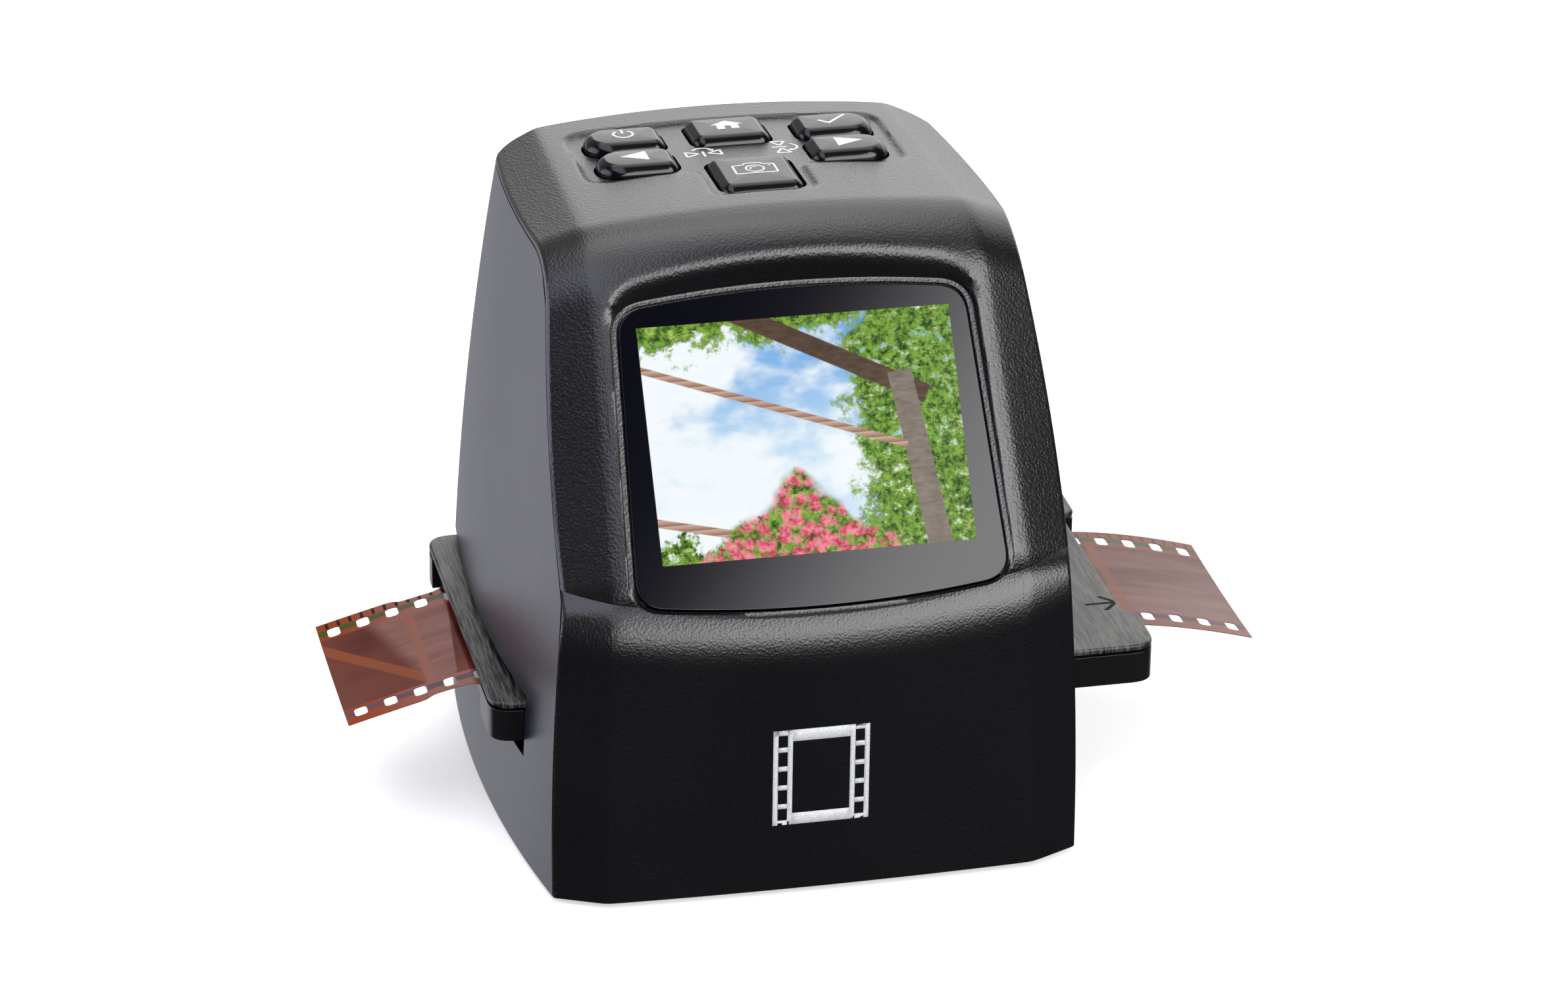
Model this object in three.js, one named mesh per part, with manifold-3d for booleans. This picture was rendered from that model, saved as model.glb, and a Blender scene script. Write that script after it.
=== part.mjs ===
// Film negative scanner: a tapered black housing with a tilted screen, six keys on top and a
// film tray that slides through both sides over a light box and under a small camera.
// Millimetres, +Z up, +X to the viewer's right, front face towards -Y. The origin is the centre
// of the base plate's underside.
import * as THREE from 'three';
import { mergeVertices } from 'three/addons/utils/BufferGeometryUtils.js';
import Module from 'manifold-3d';

const wasm = await Module();
wasm.setup();

// General clearances
const GAP = 0.3;
const OVERRUN = 6;
const SCREW_PLAY = 0.3;

// Housing, with every setback measured backwards from the foot of the front face
const HALF_WIDTH = 46.1;
const DEPTH = 85;
const WALL = 2.2;
const SIDE_BOW_RADIUS = 245;
const WIDEST_SHARE = 0.59;
const TAPER_SHARE = 0.19;
const TAPER_HEIGHT = 93;
const REAR_BOW = 4;
const REAR_SWELL = 1.5;
const REAR_ROUND = 5;

// Front and top profile with its two rounds
const KNEE_SETBACK = 1.9;
const KNEE_HEIGHT = 51.5;
const TOP_LENGTH = 54.2;
const BROW_SETBACK = DEPTH - TOP_LENGTH;
const BROW_HEIGHT = 97.3;
const TOP_FALL_SHARE = 0.0425;
const KNEE_ROUND = 10;
const BROW_ROUND = 15;

// Face between the chamfers, and how far it bows out at its middle
const FACE_HALF_FOOT = 34;
const FACE_HALF_REAR = 28.7;
const FOOT_BOW = 0.8;
const LIP_BOW = 3;
const BROW_BOW = 2.4;
const TOP_BOW = 1.2;
const CHAMFER_SLOPE_SHARE = 0.47;
const PARTING_DEPTH = 4;

// Window, in a frame of its own that is tilted back, with its foot at the picture's lower edge
const SLOPE_RUN = BROW_SETBACK - KNEE_SETBACK;
const SLOPE_RISE = BROW_HEIGHT - KNEE_HEIGHT;
const SLOPE_LENGTH = Math.hypot(SLOPE_RUN, SLOPE_RISE);
const SLOPE_ANGLE = Math.atan2(SLOPE_RUN, SLOPE_RISE);
const WINDOW_FOOT = 4.1652053;
const WINDOW_LIFT = 0.1451368;
const WINDOW_LEAN_DEGREES = 1.9478954;
const WINDOW_SETBACK = KNEE_SETBACK + WINDOW_FOOT * Math.sin(SLOPE_ANGLE) - WINDOW_LIFT * Math.cos(SLOPE_ANGLE);
const WINDOW_HEIGHT = KNEE_HEIGHT + WINDOW_FOOT * Math.cos(SLOPE_ANGLE) + WINDOW_LIFT * Math.sin(SLOPE_ANGLE);
const WINDOW_TILT = SLOPE_ANGLE + THREE.MathUtils.degToRad(WINDOW_LEAN_DEGREES);
const GLASS_TOP_HALF = 27.4;
const GLASS_LOW_HALF = 29.3;
const GLASS_BROW_MARGIN = 14.6557938;
const GLASS_TOP = SLOPE_LENGTH - GLASS_BROW_MARGIN;
const GLASS_LOW = 6.2;
const GLASS_TOP_ARCH = 2;
const GLASS_LOW_ARCH = 2.2;
const GLASS_ROUND = 4;
const GLASS_THICK = 1;
const GLASS_PLAY = 0.25;
const LEDGE_THICK = 1.2;
const RIM = 0.8;
const RIM_SIDE_SHARE = 0.3;
const RIM_TOP_SHARE = 0.9;
const RIM_LOW_SHARE = 0.8;

// Display
const PICTURE_MARGIN = 2.78;
const PICTURE_WIDTH = 48.96;
const PICTURE_HEIGHT = GLASS_TOP - PICTURE_MARGIN;
const CELL_BORDER = 0.8;
const CELL_THICK = 1.2;
const DISPLAY_WIDTH = 58;
const DISPLAY_EDGE = 3.14;
const DISPLAY_HEIGHT = PICTURE_HEIGHT + 2 * DISPLAY_EDGE;
const DISPLAY_THICK = 2.2;
const BRACKET_HEIGHT = 20;
const BRACKET_THICK = 1.2;
const BRACKET_SCREW_X = 32;
const BRACKET_SCREW_EDGE = 3;
const BOSS_RADIUS = 2.4;

// Screws
const SHANK_RADIUS = 0.8;
const HEAD_RADIUS = 1.7;
const HEAD_HEIGHT = 1.1;
const SOCKET_DEPTH = 0.6;
const SOCKET_RADIUS = 0.7;

// Keys: places of their middles and their sizes
const KEY_RISE = 2.1;
const KEY_TRAVEL = 0.8;
const KEY_PLAY = 0.35;
const KEY_DOME = 1.6;
const KEY_LIP = 0.6;
const KEY_LIP_THICK = 0.8;
const KEY_ROUND = 2;
const KEY_END_ROUND = 4;
const SIDE_KEY_X = 17;
const SIDE_KEY_WIDTH = 12.7;
const SIDE_KEY_DEPTH = 8.9;
const KEY_ROW_INSET = 13;
const KEY_ROW_PITCH = 10.5;
const UPPER_KEY_SETBACK = DEPTH - KEY_ROW_INSET;
const LOWER_KEY_SETBACK = UPPER_KEY_SETBACK - KEY_ROW_PITCH;
const HOME_KEY_WIDTH = 12.8;
const HOME_KEY_DEPTH = 10.4;
const HOME_KEY_INSET = 12.2;
const HOME_KEY_SETBACK = DEPTH - HOME_KEY_INSET;
const CAPTURE_KEY_WIDTH = 13.4;
const CAPTURE_KEY_DEPTH = 14.4;
const MIDDLE_KEY_PITCH = 20.8;
const CAPTURE_KEY_SETBACK = HOME_KEY_SETBACK - MIDDLE_KEY_PITCH;

// Sunken key panel with its tongue
const PANEL_DEPTH = 0.6;
const PANEL_MARGIN = 2.2;
const PANEL_ROUND = 4;
const TONGUE_MARGIN = 1.5;

// Key board and its switches
const STEM_RADIUS = 1.6;
const STEM_LENGTH = 1.5;
const SWITCH_SIDE = 6;
const SWITCH_HEIGHT = 2.5;
const PLUNGER_RADIUS = 1.5;
const PLUNGER_HEIGHT = 1;
const BOARD_THICK = 1.2;
const KEY_BOARD_WIDTH = 61;
const KEY_BOARD_DEPTH = 36;
const KEY_BOARD_INSET = 6;
const KEY_BOARD_REAR = DEPTH - KEY_BOARD_INSET;
const KEY_BOARD_FRONT = KEY_BOARD_REAR - KEY_BOARD_DEPTH;
const KEY_SCREW_EDGE = 3;

// Film, tray and slot
const FILM_WIDTH = 35;
const FILM_THICK = 0.15;
const FILM_HEIGHT = 23.5;
const FILM_LEFT = 68.9;
const FILM_RIGHT = 78.6;
const FILM_DROOP_LEFT = 5.2;
const FILM_DROOP_RIGHT = 4.5;
const DROOP_POWER_LEFT = 1.1;
const DROOP_POWER_RIGHT = 1.5;
const PERFORATION_PITCH = 4.75;
const PERFORATION_LENGTH = 1.98;
const PERFORATION_WIDTH = 2.8;
const PERFORATION_EDGE = 2;
const TRAY_LEFT = 48.5;
const TRAY_RIGHT = 58.5;
const TRAY_PLAY_FRONT = 0.8;
const TRAY_PLAY_REAR = 2.3;
const TRAY_BOTTOM = 20;
const TRAY_SPLIT = 25.2;
const TRAY_TOP = 26.6;
const TRAY_ROUND = 4;
const TRAY_BEVEL = 0.9;
const TRAY_END_STEP = 6.1;
const BED_DROP = 0.3;
const CHANNEL_PLAY = 0.3;
const PAD_LIFT = 0.35;
const NOTCH_DEPTH = 2.4;
const NOTCH_RUN = 1.6;
const MOUTH_SET_IN = 1.2;
const GATE_LENGTH = 37;
const GATE_WIDTH = 25;
const HINGE_PIN_RADIUS = 0.55;
const HINGE_LUG_LENGTH = 5;
const HINGE_LUG_THICK = 2.2;
const HINGE_PLACE = 36;
const HINGE_PIN_BITE = 1.8;
const SLOT_LOW = 17.6;
const SLOT_HIGH = 28;
const SLOT_FRONT = 17.7;
const SLOT_INSET = 2.8;
const SLOT_REAR = DEPTH - SLOT_INSET;
const TRAY_WIDTH = SLOT_REAR - SLOT_FRONT - TRAY_PLAY_FRONT - TRAY_PLAY_REAR;
const FILM_SETBACK = SLOT_FRONT + TRAY_PLAY_FRONT + TRAY_WIDTH / 2;

// Guides that the tray runs in
const GUIDE_FLOOR = 15;
const GUIDE_PLATE = 2;
const GUIDE_TOP_THICK = 2;
const FENCE_THICK = 1.6;
const RAIL_WIDTH = 9;
const LEG_SIDE = 6;
const LEG_PLACE_X = 27;

// Light under the film
const LIGHT_LENGTH = 44;
const LIGHT_WIDTH = 33;
const LIGHT_WALL = 1.4;
const DIFFUSER_THICK = 1.8;
const LED_SIDE = 3;
const LED_HEIGHT = 0.9;
const LED_PITCH = 11;

// Camera over the film
const CAMERA_ROOM = 27.5;
const TUNNEL_WALL = 1.4;
const TUNNEL_FOOT_LENGTH = 43;
const TUNNEL_FOOT_WIDTH = 31;
const TUNNEL_TOP_SIDE = 19;
const FLANGE_THICK = 1.6;
const FLANGE_REACH = 5;
const HOLDER_SIDE = 18;
const HOLDER_HEIGHT = 12;
const BARREL_RADIUS = 5.6;
const BARREL_HEIGHT = 8;
const LENS_RADIUS = 3.4;
const LENS_THICK = 2.4;
const SENSOR_BOARD_SIDE = 30;
const SENSOR_SIDE = 8;
const SENSOR_THICK = 1.2;

// Main board with its sockets
const MAIN_BOARD_DROP = 9.594;
const MAIN_BOARD_HALF = 32.5;
const MAIN_BOARD_DEPTH = 42.5;
const MAIN_BOARD_INSET = 4.5;
const MAIN_BOARD_REAR = DEPTH - MAIN_BOARD_INSET;
const MAIN_BOARD_FRONT = MAIN_BOARD_REAR - MAIN_BOARD_DEPTH;
const LUG_SIDE = 6;
const LUG_HEIGHT = 4;
const LUG_INSET = 11;
const LUG_PITCH = 30;
const LUG_REAR = DEPTH - LUG_INSET;
const LUG_FRONT = LUG_REAR - LUG_PITCH;
const CARD_WIDTH = 28;
const CARD_DEPTH = 24;
const CARD_HEIGHT = 3.2;
const CARD_SLOT_WIDTH = 24.6;
const CARD_SLOT_HEIGHT = 2.4;
const CARD_X = -8;
const USB_WIDTH = 8.9;
const USB_DEPTH = 9;
const USB_HEIGHT = 3.8;
const USB_SHELL = 0.4;
const USB_X = 20;
const CHIP_SIDE = 13;
const CHIP_HEIGHT = 1.2;

// Base plate and feet
const PLATE_THICK = 2;
const FOOT_RADIUS = 4.5;
const FOOT_HEIGHT = 1;
const FOOT_SEAT_DEPTH = 0.5;
const FOOT_X = 33;
const FOOT_INSET = 10;
const POST_X = 37.5;
const POST_INSET = 17;
const POST_HEIGHT = 11;
const POST_RADIUS = 2.6;
const BASE_SCREW_LENGTH = 7;

// How finely round shapes are drawn, and the thinnest triangle that is kept
const ROUND_STEPS = 16;
const HEAD_SIDES = 10;
const SHANK_SIDES = 6;
const SOCKET_SIDES = 4;
const LEAST_HEIGHT = 0.0005;
const MOST_PASSES = 4;
const BOW_SHARES = [-1, -0.7, -0.36, 0, 0.36, 0.7, 1];
const LEVEL_SHARES = [0, 0.2, 0.38, 0.54, 0.68, 0.8, 0.91, 1];
const SIDE_SHARES = [0, 0.16, 0.34, 0.54, 0.75, 1];
const CORNER_SHARES = [0.16, 0.5, 0.84];
const REAR_SHARES = [0, 0.25, 0.5, 0.75];
const ARCH_SHARES = [-0.72, -0.36, 0, 0.36, 0.72];
const KEY_DOME_SHARES = [[0, 1], [0.12, 0.5], [0.4, 0.16], [1, 0]];
const LENS_SHARES = [[1, 0.4], [0.85, 0.65], [0.5, 0.9], [0, 1]];
const CORNER_STEPS = 3;
const KNEE_STEPS = 4;
const BROW_STEPS = 7;
const FACE_STEPS = 4;

// Colour, roughness and metalness of each stuff
const GRAINED_BLACK = { color: 0x121214, roughness: 0.6, metalness: 0 };
const SMOOTH_BLACK = { color: 0x1b1b20, roughness: 0.42, metalness: 0 };
const GLOSS_BLACK = { color: 0x08080a, roughness: 0.12, metalness: 0 };
const DARK_GREY = { color: 0x2c2c2c, roughness: 0.45, metalness: 0 };
const RUBBER = { color: 0x1c1c1c, roughness: 0.9, metalness: 0 };
const STEEL = { color: 0x9a9da2, roughness: 0.35, metalness: 1 };
const DARK_METAL = { color: 0x222226, roughness: 0.3, metalness: 1 };
const GREEN = { color: 0x1f5a34, roughness: 0.5, metalness: 0 };
const WHITE = { color: 0xececea, roughness: 0.5, metalness: 0 };
const CLEAR = { color: 0xc8d8e4, roughness: 0.05, metalness: 0 };
const PICTURE = { color: 0x4c7fb4, roughness: 0.2, metalness: 0 };
const FILM = { color: 0x8a4a30, roughness: 0.25, metalness: 0 };

const lerp = THREE.MathUtils.lerp;
const behind = (setback) => setback - DEPTH / 2;

// Solid from a closed geometry
function toSolid(geometry) {
  const bare = geometry.clone();
  bare.deleteAttribute('normal');
  bare.deleteAttribute('uv');
  const merged = mergeVertices(bare);
  return new wasm.Manifold(new wasm.Mesh({
    numProp: 3,
    vertProperties: new Float32Array(merged.attributes.position.array),
    triVerts: new Uint32Array(merged.index.array),
  }));
}

function toGeometry(solid) {
  const result = solid.getMesh();
  const geometry = new THREE.BufferGeometry();
  geometry.setAttribute('position', new THREE.BufferAttribute(result.vertProperties, result.numProp));
  geometry.setIndex(new THREE.BufferAttribute(result.triVerts, 1));
  geometry.computeVertexNormals();
  return geometry;
}

// Triangle with nearly no height: its longest edge is turned so that the neighbour takes it in
function turnSlivers(geometry) {
  const position = geometry.attributes.position;
  const count = position.count;
  const faces = Array.from({ length: geometry.index.count / 3 }, (_, face) =>
    [0, 1, 2].map((corner) => geometry.index.getX(3 * face + corner)));
  const point = (index) => new THREE.Vector3().fromBufferAttribute(position, index);
  const owner = new Map();
  const enter = (face) => faces[face].forEach((from, corner) =>
    owner.set(from * count + faces[face][(corner + 1) % 3], face));
  faces.forEach((_, face) => enter(face));
  const turn = (face) => {
    const corners = faces[face].map(point);
    const sides = corners.map((corner, index) => corner.distanceTo(corners[(index + 1) % 3]));
    const longest = sides.indexOf(Math.max(...sides));
    const [p, q, r] = [0, 1, 2].map((step) => faces[face][(longest + step) % 3]);
    const area = point(q).sub(point(p)).cross(point(r).sub(point(p))).length();
    if (area >= LEAST_HEIGHT * sides[longest]) return false;
    const other = owner.get(q * count + p);
    const s = faces[other].find((index) => index !== p && index !== q);
    if (owner.has(r * count + s) || owner.has(s * count + r)) return false;
    owner.delete(p * count + q);
    owner.delete(q * count + p);
    faces[face] = [p, s, r];
    faces[other] = [s, q, r];
    enter(face);
    enter(other);
    return true;
  };
  for (let pass = 0; pass < MOST_PASSES; pass += 1) {
    const turned = faces.map((_, face) => turn(face));
    if (!turned.includes(true)) break;
  }
  geometry.setIndex(faces.flat());
  geometry.computeVertexNormals();
  return geometry;
}

const united = (solids) => solids.reduce((whole, piece) => whole.add(piece));

// Triangles of a flat ring of points, in the ring's own turning sense
function capFaces(ring) {
  const normal = new THREE.Vector3();
  ring.forEach((point, index) => {
    const next = ring[(index + 1) % ring.length];
    normal.add(new THREE.Vector3().crossVectors(point, next));
  });
  normal.normalize();
  const along = new THREE.Vector3().subVectors(ring[1], ring[0]);
  along.addScaledVector(normal, -along.dot(normal)).normalize();
  const across = new THREE.Vector3().crossVectors(normal, along);
  const flat = ring.map((point) => new THREE.Vector2(point.dot(along), point.dot(across)));
  return THREE.ShapeUtils.triangulateShape(flat, []);
}

// Closed body through rings that have equally many points; points that coincide are merged
function loft(rings) {
  const points = rings.map((ring) => ring.map((point) => new THREE.Vector3(...point)));
  const count = points[0].length;
  const triangles = [];
  for (let row = 0; row + 1 < points.length; row += 1) {
    for (let column = 0; column < count; column += 1) {
      const next = (column + 1) % count;
      const [a, b] = [points[row][column], points[row][next]];
      const [c, d] = [points[row + 1][next], points[row + 1][column]];
      triangles.push([a, b, c], [a, c, d]);
    }
  }
  const first = points[0];
  const last = points[points.length - 1];
  capFaces(first).forEach(([a, b, c]) => triangles.push([first[c], first[b], first[a]]));
  capFaces(last).forEach(([a, b, c]) => triangles.push([last[a], last[b], last[c]]));
  const kept = triangles.filter(([a, b, c]) => !a.equals(b) && !b.equals(c) && !a.equals(c));
  const volume = kept.reduce((sum, [a, b, c]) => sum + a.dot(b.clone().cross(c)), 0);
  const turned = volume < 0 ? kept.map(([a, b, c]) => [a, c, b]) : kept;
  const geometry = new THREE.BufferGeometry().setFromPoints(turned.flat());
  return toSolid(geometry);
}

// Straight-sided body over an outline in plan
const prism = (outline, low, high) =>
  loft([low, high].map((z) => outline.map(([x, y]) => [x, y, z])));

function box(width, depth, height, x, y, low) {
  const geometry = new THREE.BoxGeometry(width, depth, height);
  return toSolid(geometry.translate(x, y, low + height / 2));
}

// Upright cylinder with its foot at a height
function post(radius, height, x, y, low, steps = ROUND_STEPS) {
  const geometry = new THREE.CylinderGeometry(radius, radius, height, steps);
  return toSolid(geometry.rotateX(Math.PI / 2).translate(x, y, low + height / 2));
}

// Rounded rectangle about the origin, with a radius for its left and its right corners
function roundedOutline(width, depth, leftRound, rightRound) {
  const corners = [
    [width / 2, depth / 2, rightRound, 0],
    [-width / 2, depth / 2, leftRound, 1],
    [-width / 2, -depth / 2, leftRound, 2],
    [width / 2, -depth / 2, rightRound, 3],
  ];
  return corners.flatMap(([x, y, radius, quarter]) => {
    const centre = [x - Math.sign(x) * radius, y - Math.sign(y) * radius];
    return Array.from({ length: CORNER_STEPS + 1 }, (_, step) => {
      const angle = (quarter + step / CORNER_STEPS) * (Math.PI / 2);
      return [centre[0] + radius * Math.cos(angle), centre[1] + radius * Math.sin(angle)];
    });
  });
}

const moved = (outline, x, y) => outline.map(([px, py]) => [px + x, py + y]);

// Outline with its corners rounded by short curves; each corner has its own reach
function softened(corners) {
  const count = corners.length;
  return corners.flatMap(([x, y, reach], index) => {
    if (!reach) return [[x, y]];
    const corner = new THREE.Vector2(x, y);
    const towards = (other) => {
      const step = new THREE.Vector2(other[0], other[1]).sub(corner);
      return corner.clone().add(step.setLength(Math.min(reach, step.length() / 2)));
    };
    const from = towards(corners[(index + count - 1) % count]);
    const to = towards(corners[(index + 1) % count]);
    const curve = new THREE.QuadraticBezierCurve(from, corner, to);
    return curve.getPoints(CORNER_STEPS).map((point) => [point.x, point.y]);
  });
}

// Housing shape

const taper = (z) => 1 - TAPER_SHARE * (z / TAPER_HEIGHT) ** 2;
const topLine = (setback) => BROW_HEIGHT - TOP_FALL_SHARE * (setback - BROW_SETBACK);

function sideHalf(setback, z, inset) {
  const bow = (setback - WIDEST_SHARE * DEPTH) ** 2 / (2 * SIDE_BOW_RADIUS);
  return (HALF_WIDTH - bow) * taper(z) - inset;
}

const rearAt = (x, inset) => DEPTH + REAR_SWELL - REAR_BOW * (x / HALF_WIDTH) ** 2 - inset;

function planRing(z, inset) {
  const round = REAR_ROUND - inset;
  const cornerX = sideHalf(DEPTH, z, inset) - round;
  const cornerY = rearAt(cornerX, inset) - round;
  const centreX = sideHalf(cornerY, z, inset) - round;
  const side = SIDE_SHARES.map((share) => {
    const setback = lerp(-OVERRUN, cornerY, share);
    return [sideHalf(setback, z, inset), setback];
  });
  const corner = CORNER_SHARES.map((share) => {
    const angle = share * (Math.PI / 2);
    return [centreX + round * Math.cos(angle), cornerY + round * Math.sin(angle)];
  });
  const rear = REAR_SHARES.map((share) => {
    const x = lerp(centreX, 0, share);
    return [x, rearAt(x, inset)];
  });
  const right = [...side, ...corner, ...rear];
  const left = right.map(([x, setback]) => [-x, setback]).reverse();
  return [...right, [0, rearAt(0, inset)], ...left].map(([x, setback]) => [x, behind(setback), z]);
}

const sideSolid = (inset, low, high) =>
  loft(LEVEL_SHARES.map((share) => planRing(lerp(low, high, share), inset)));

// Profile of the front, the tilted face and the top, as setbacks and heights
function roundCorner(before, corner, after, radius, steps) {
  const back = before.clone().sub(corner).normalize();
  const on = after.clone().sub(corner).normalize();
  const half = Math.acos(back.dot(on)) / 2;
  const bisector = back.clone().add(on).normalize();
  const centre = corner.clone().addScaledVector(bisector, radius / Math.sin(half));
  const start = corner.clone().addScaledVector(back, radius / Math.tan(half));
  const end = corner.clone().addScaledVector(on, radius / Math.tan(half));
  const from = start.clone().sub(centre).angle();
  let sweep = end.clone().sub(centre).angle() - from;
  if (sweep > Math.PI) sweep -= 2 * Math.PI;
  if (sweep < -Math.PI) sweep += 2 * Math.PI;
  return Array.from({ length: steps + 1 }, (_, step) => {
    const angle = from + (sweep * step) / steps;
    return new THREE.Vector2(Math.cos(angle), Math.sin(angle)).multiplyScalar(radius).add(centre);
  });
}

const straight = (from, to, steps) =>
  Array.from({ length: steps }, (_, step) => from.clone().lerp(to, (step + 1) / (steps + 1)));

function faceProfile() {
  const lean = KNEE_SETBACK / KNEE_HEIGHT;
  const start = new THREE.Vector2(-lean * OVERRUN, -OVERRUN);
  const foot = new THREE.Vector2(0, 0);
  const knee = new THREE.Vector2(KNEE_SETBACK, KNEE_HEIGHT);
  const brow = new THREE.Vector2(BROW_SETBACK, BROW_HEIGHT);
  const rearSetback = DEPTH + OVERRUN;
  const rear = new THREE.Vector2(rearSetback, topLine(rearSetback));
  const kneeArc = roundCorner(foot, knee, brow, KNEE_ROUND, KNEE_STEPS);
  const browArc = roundCorner(knee, brow, rear, BROW_ROUND, BROW_STEPS);
  const points = [
    start, foot, ...straight(foot, kneeArc[0], FACE_STEPS), ...kneeArc,
    ...straight(kneeArc[KNEE_STEPS], browArc[0], FACE_STEPS), ...browArc,
    ...straight(browArc[BROW_STEPS], rear, FACE_STEPS), rear,
  ];
  let run = 0;
  const length = points.map((point, index) => {
    if (index > 1) run += point.distanceTo(points[index - 1]);
    return run;
  });
  const kneeRun = length[points.indexOf(kneeArc[Math.floor(KNEE_STEPS / 2)])];
  const browRun = length[points.indexOf(browArc[Math.ceil(BROW_STEPS / 2)])];
  return points.map((point, index) => {
    const at = length[index];
    const share = at / run;
    let bow = lerp(BROW_BOW, TOP_BOW, (at - browRun) / (run - browRun));
    if (at < browRun) bow = lerp(LIP_BOW, BROW_BOW, (at - kneeRun) / (browRun - kneeRun));
    if (at < kneeRun) bow = lerp(FOOT_BOW, LIP_BOW, at / kneeRun);
    return { point, half: lerp(FACE_HALF_FOOT, FACE_HALF_REAR, share), bow };
  });
}

// Every profile ring lies in a plane through one line behind and below the housing
const fanLine = new THREE.Vector2(DEPTH + 2 * OVERRUN, -2 * OVERRUN);

function fanSolid(ringAt) {
  return loft(faceProfile().map(({ point, half, bow }) => {
    const away = point.clone().sub(fanLine);
    const distance = away.length();
    away.normalize();
    const at = (x, depth) => {
      const place = fanLine.clone().addScaledVector(away, distance - depth);
      return [x, behind(place.x), place.y];
    };
    const far = HALF_WIDTH + OVERRUN;
    return [...ringAt(at, half, bow), at(far, distance), at(-far, distance)];
  }));
}

function faceSolid(inset, bowed) {
  const turn = Math.tan(Math.atan(CHAMFER_SLOPE_SHARE) / 2);
  return fanSolid((at, half, bow) => {
    const edge = half - inset * turn;
    const reach = HALF_WIDTH + OVERRUN;
    const drop = inset + CHAMFER_SLOPE_SHARE * (reach - edge);
    const shares = bowed ? BOW_SHARES : [-1, 1];
    const face = shares.map((share) => at(share * edge, inset - bowed * bow * (1 - share ** 2)));
    return [at(-reach, drop), ...face, at(reach, drop)];
  });
}

const partingSolid = (depth) => fanSolid((at) => {
  const reach = HALF_WIDTH + OVERRUN;
  return [at(-reach, depth), at(reach, depth)];
});

const ceiling = BROW_HEIGHT + OVERRUN;
const outerBody = faceSolid(0, 1).intersect(sideSolid(0, 0, ceiling));
const cavity = faceSolid(WALL, 0).intersect(sideSolid(WALL, -OVERRUN, ceiling));
const shell = outerBody.subtract(cavity);

// Window frame: x to the right, y up the tilted face, z out of it
const windowFrame = new THREE.Matrix4().makeRotationX(Math.PI / 2 - WINDOW_TILT);
windowFrame.setPosition(0, behind(WINDOW_SETBACK), WINDOW_HEIGHT);
const inWindow = (solid) => toSolid(toGeometry(solid).applyMatrix4(windowFrame));

function glassOutline(side, top, low) {
  const arch = (half, edge, rise, direction) => ARCH_SHARES.map((share) =>
    [direction * share * half, edge + rise * (1 - share ** 2), 0]);
  const upper = GLASS_TOP + top;
  const lower = -GLASS_LOW - low;
  return softened([
    [-GLASS_LOW_HALF - side, lower, GLASS_ROUND],
    ...arch(GLASS_LOW_HALF, lower, -GLASS_LOW_ARCH, 1),
    [GLASS_LOW_HALF + side, lower, GLASS_ROUND],
    [GLASS_TOP_HALF + side, upper, GLASS_ROUND],
    ...arch(GLASS_TOP_HALF, upper, GLASS_TOP_ARCH, -1),
    [-GLASS_TOP_HALF - side, upper, GLASS_ROUND],
  ]);
}

const glassPocket = GLASS_THICK + GAP;
const padDepth = glassPocket + LEDGE_THICK;
const cellLow = -glassPocket - CELL_THICK;
const displayLow = -padDepth - GAP - DISPLAY_THICK;
const bracketLow = displayLow - GAP - BRACKET_THICK;
const displayMiddle = PICTURE_HEIGHT / 2;
const cellWidth = PICTURE_WIDTH + 2 * CELL_BORDER;
const cellHeight = PICTURE_HEIGHT + 2 * CELL_BORDER;

function windowRecess() {
  const rings = [0, OVERRUN].map((lift) => glassOutline(
    RIM + RIM_SIDE_SHARE * lift, RIM + RIM_TOP_SHARE * lift, RIM + RIM_LOW_SHARE * lift,
  ).map(([x, y]) => [x, y, lift]));
  const recess = loft(rings);
  const pocket = prism(glassOutline(0, 0, 0), -glassPocket, GAP);
  const through = padDepth + OVERRUN;
  const aperture = box(cellWidth + 2 * GAP, cellHeight + 2 * GAP, through, 0, displayMiddle, -through);
  return inWindow(united([recess, pocket, aperture]));
}

function windowPad() {
  const outline = glassOutline(RIM + GLASS_THICK, RIM + GLASS_THICK, RIM + GLASS_THICK);
  return inWindow(prism(outline, -padDepth, OVERRUN)).intersect(outerBody);
}

// Keys

const keys = [
  { name: 'power_button', x: -SIDE_KEY_X, setback: UPPER_KEY_SETBACK, side: -1 },
  { name: 'back_button', x: -SIDE_KEY_X, setback: LOWER_KEY_SETBACK, side: -1 },
  { name: 'confirm_button', x: SIDE_KEY_X, setback: UPPER_KEY_SETBACK, side: 1 },
  { name: 'forward_button', x: SIDE_KEY_X, setback: LOWER_KEY_SETBACK, side: 1 },
  { name: 'home_button', x: 0, setback: HOME_KEY_SETBACK, side: 0 },
  { name: 'capture_button', x: 0, setback: CAPTURE_KEY_SETBACK, side: 0 },
];

function keySize(key) {
  if (key.side) return [SIDE_KEY_WIDTH, SIDE_KEY_DEPTH];
  if (key.name === 'home_button') return [HOME_KEY_WIDTH, HOME_KEY_DEPTH];
  return [CAPTURE_KEY_WIDTH, CAPTURE_KEY_DEPTH];
}

function keyOutline(key, grow) {
  const [width, depth] = keySize(key);
  const round = (outer) => Math.max((outer ? KEY_END_ROUND : KEY_ROUND) + grow, GAP);
  const [left, right] = [round(key.side < 0), round(key.side > 0)];
  const outline = roundedOutline(width + 2 * grow, depth + 2 * grow, left, right);
  return moved(outline, key.x, behind(key.setback));
}

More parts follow.
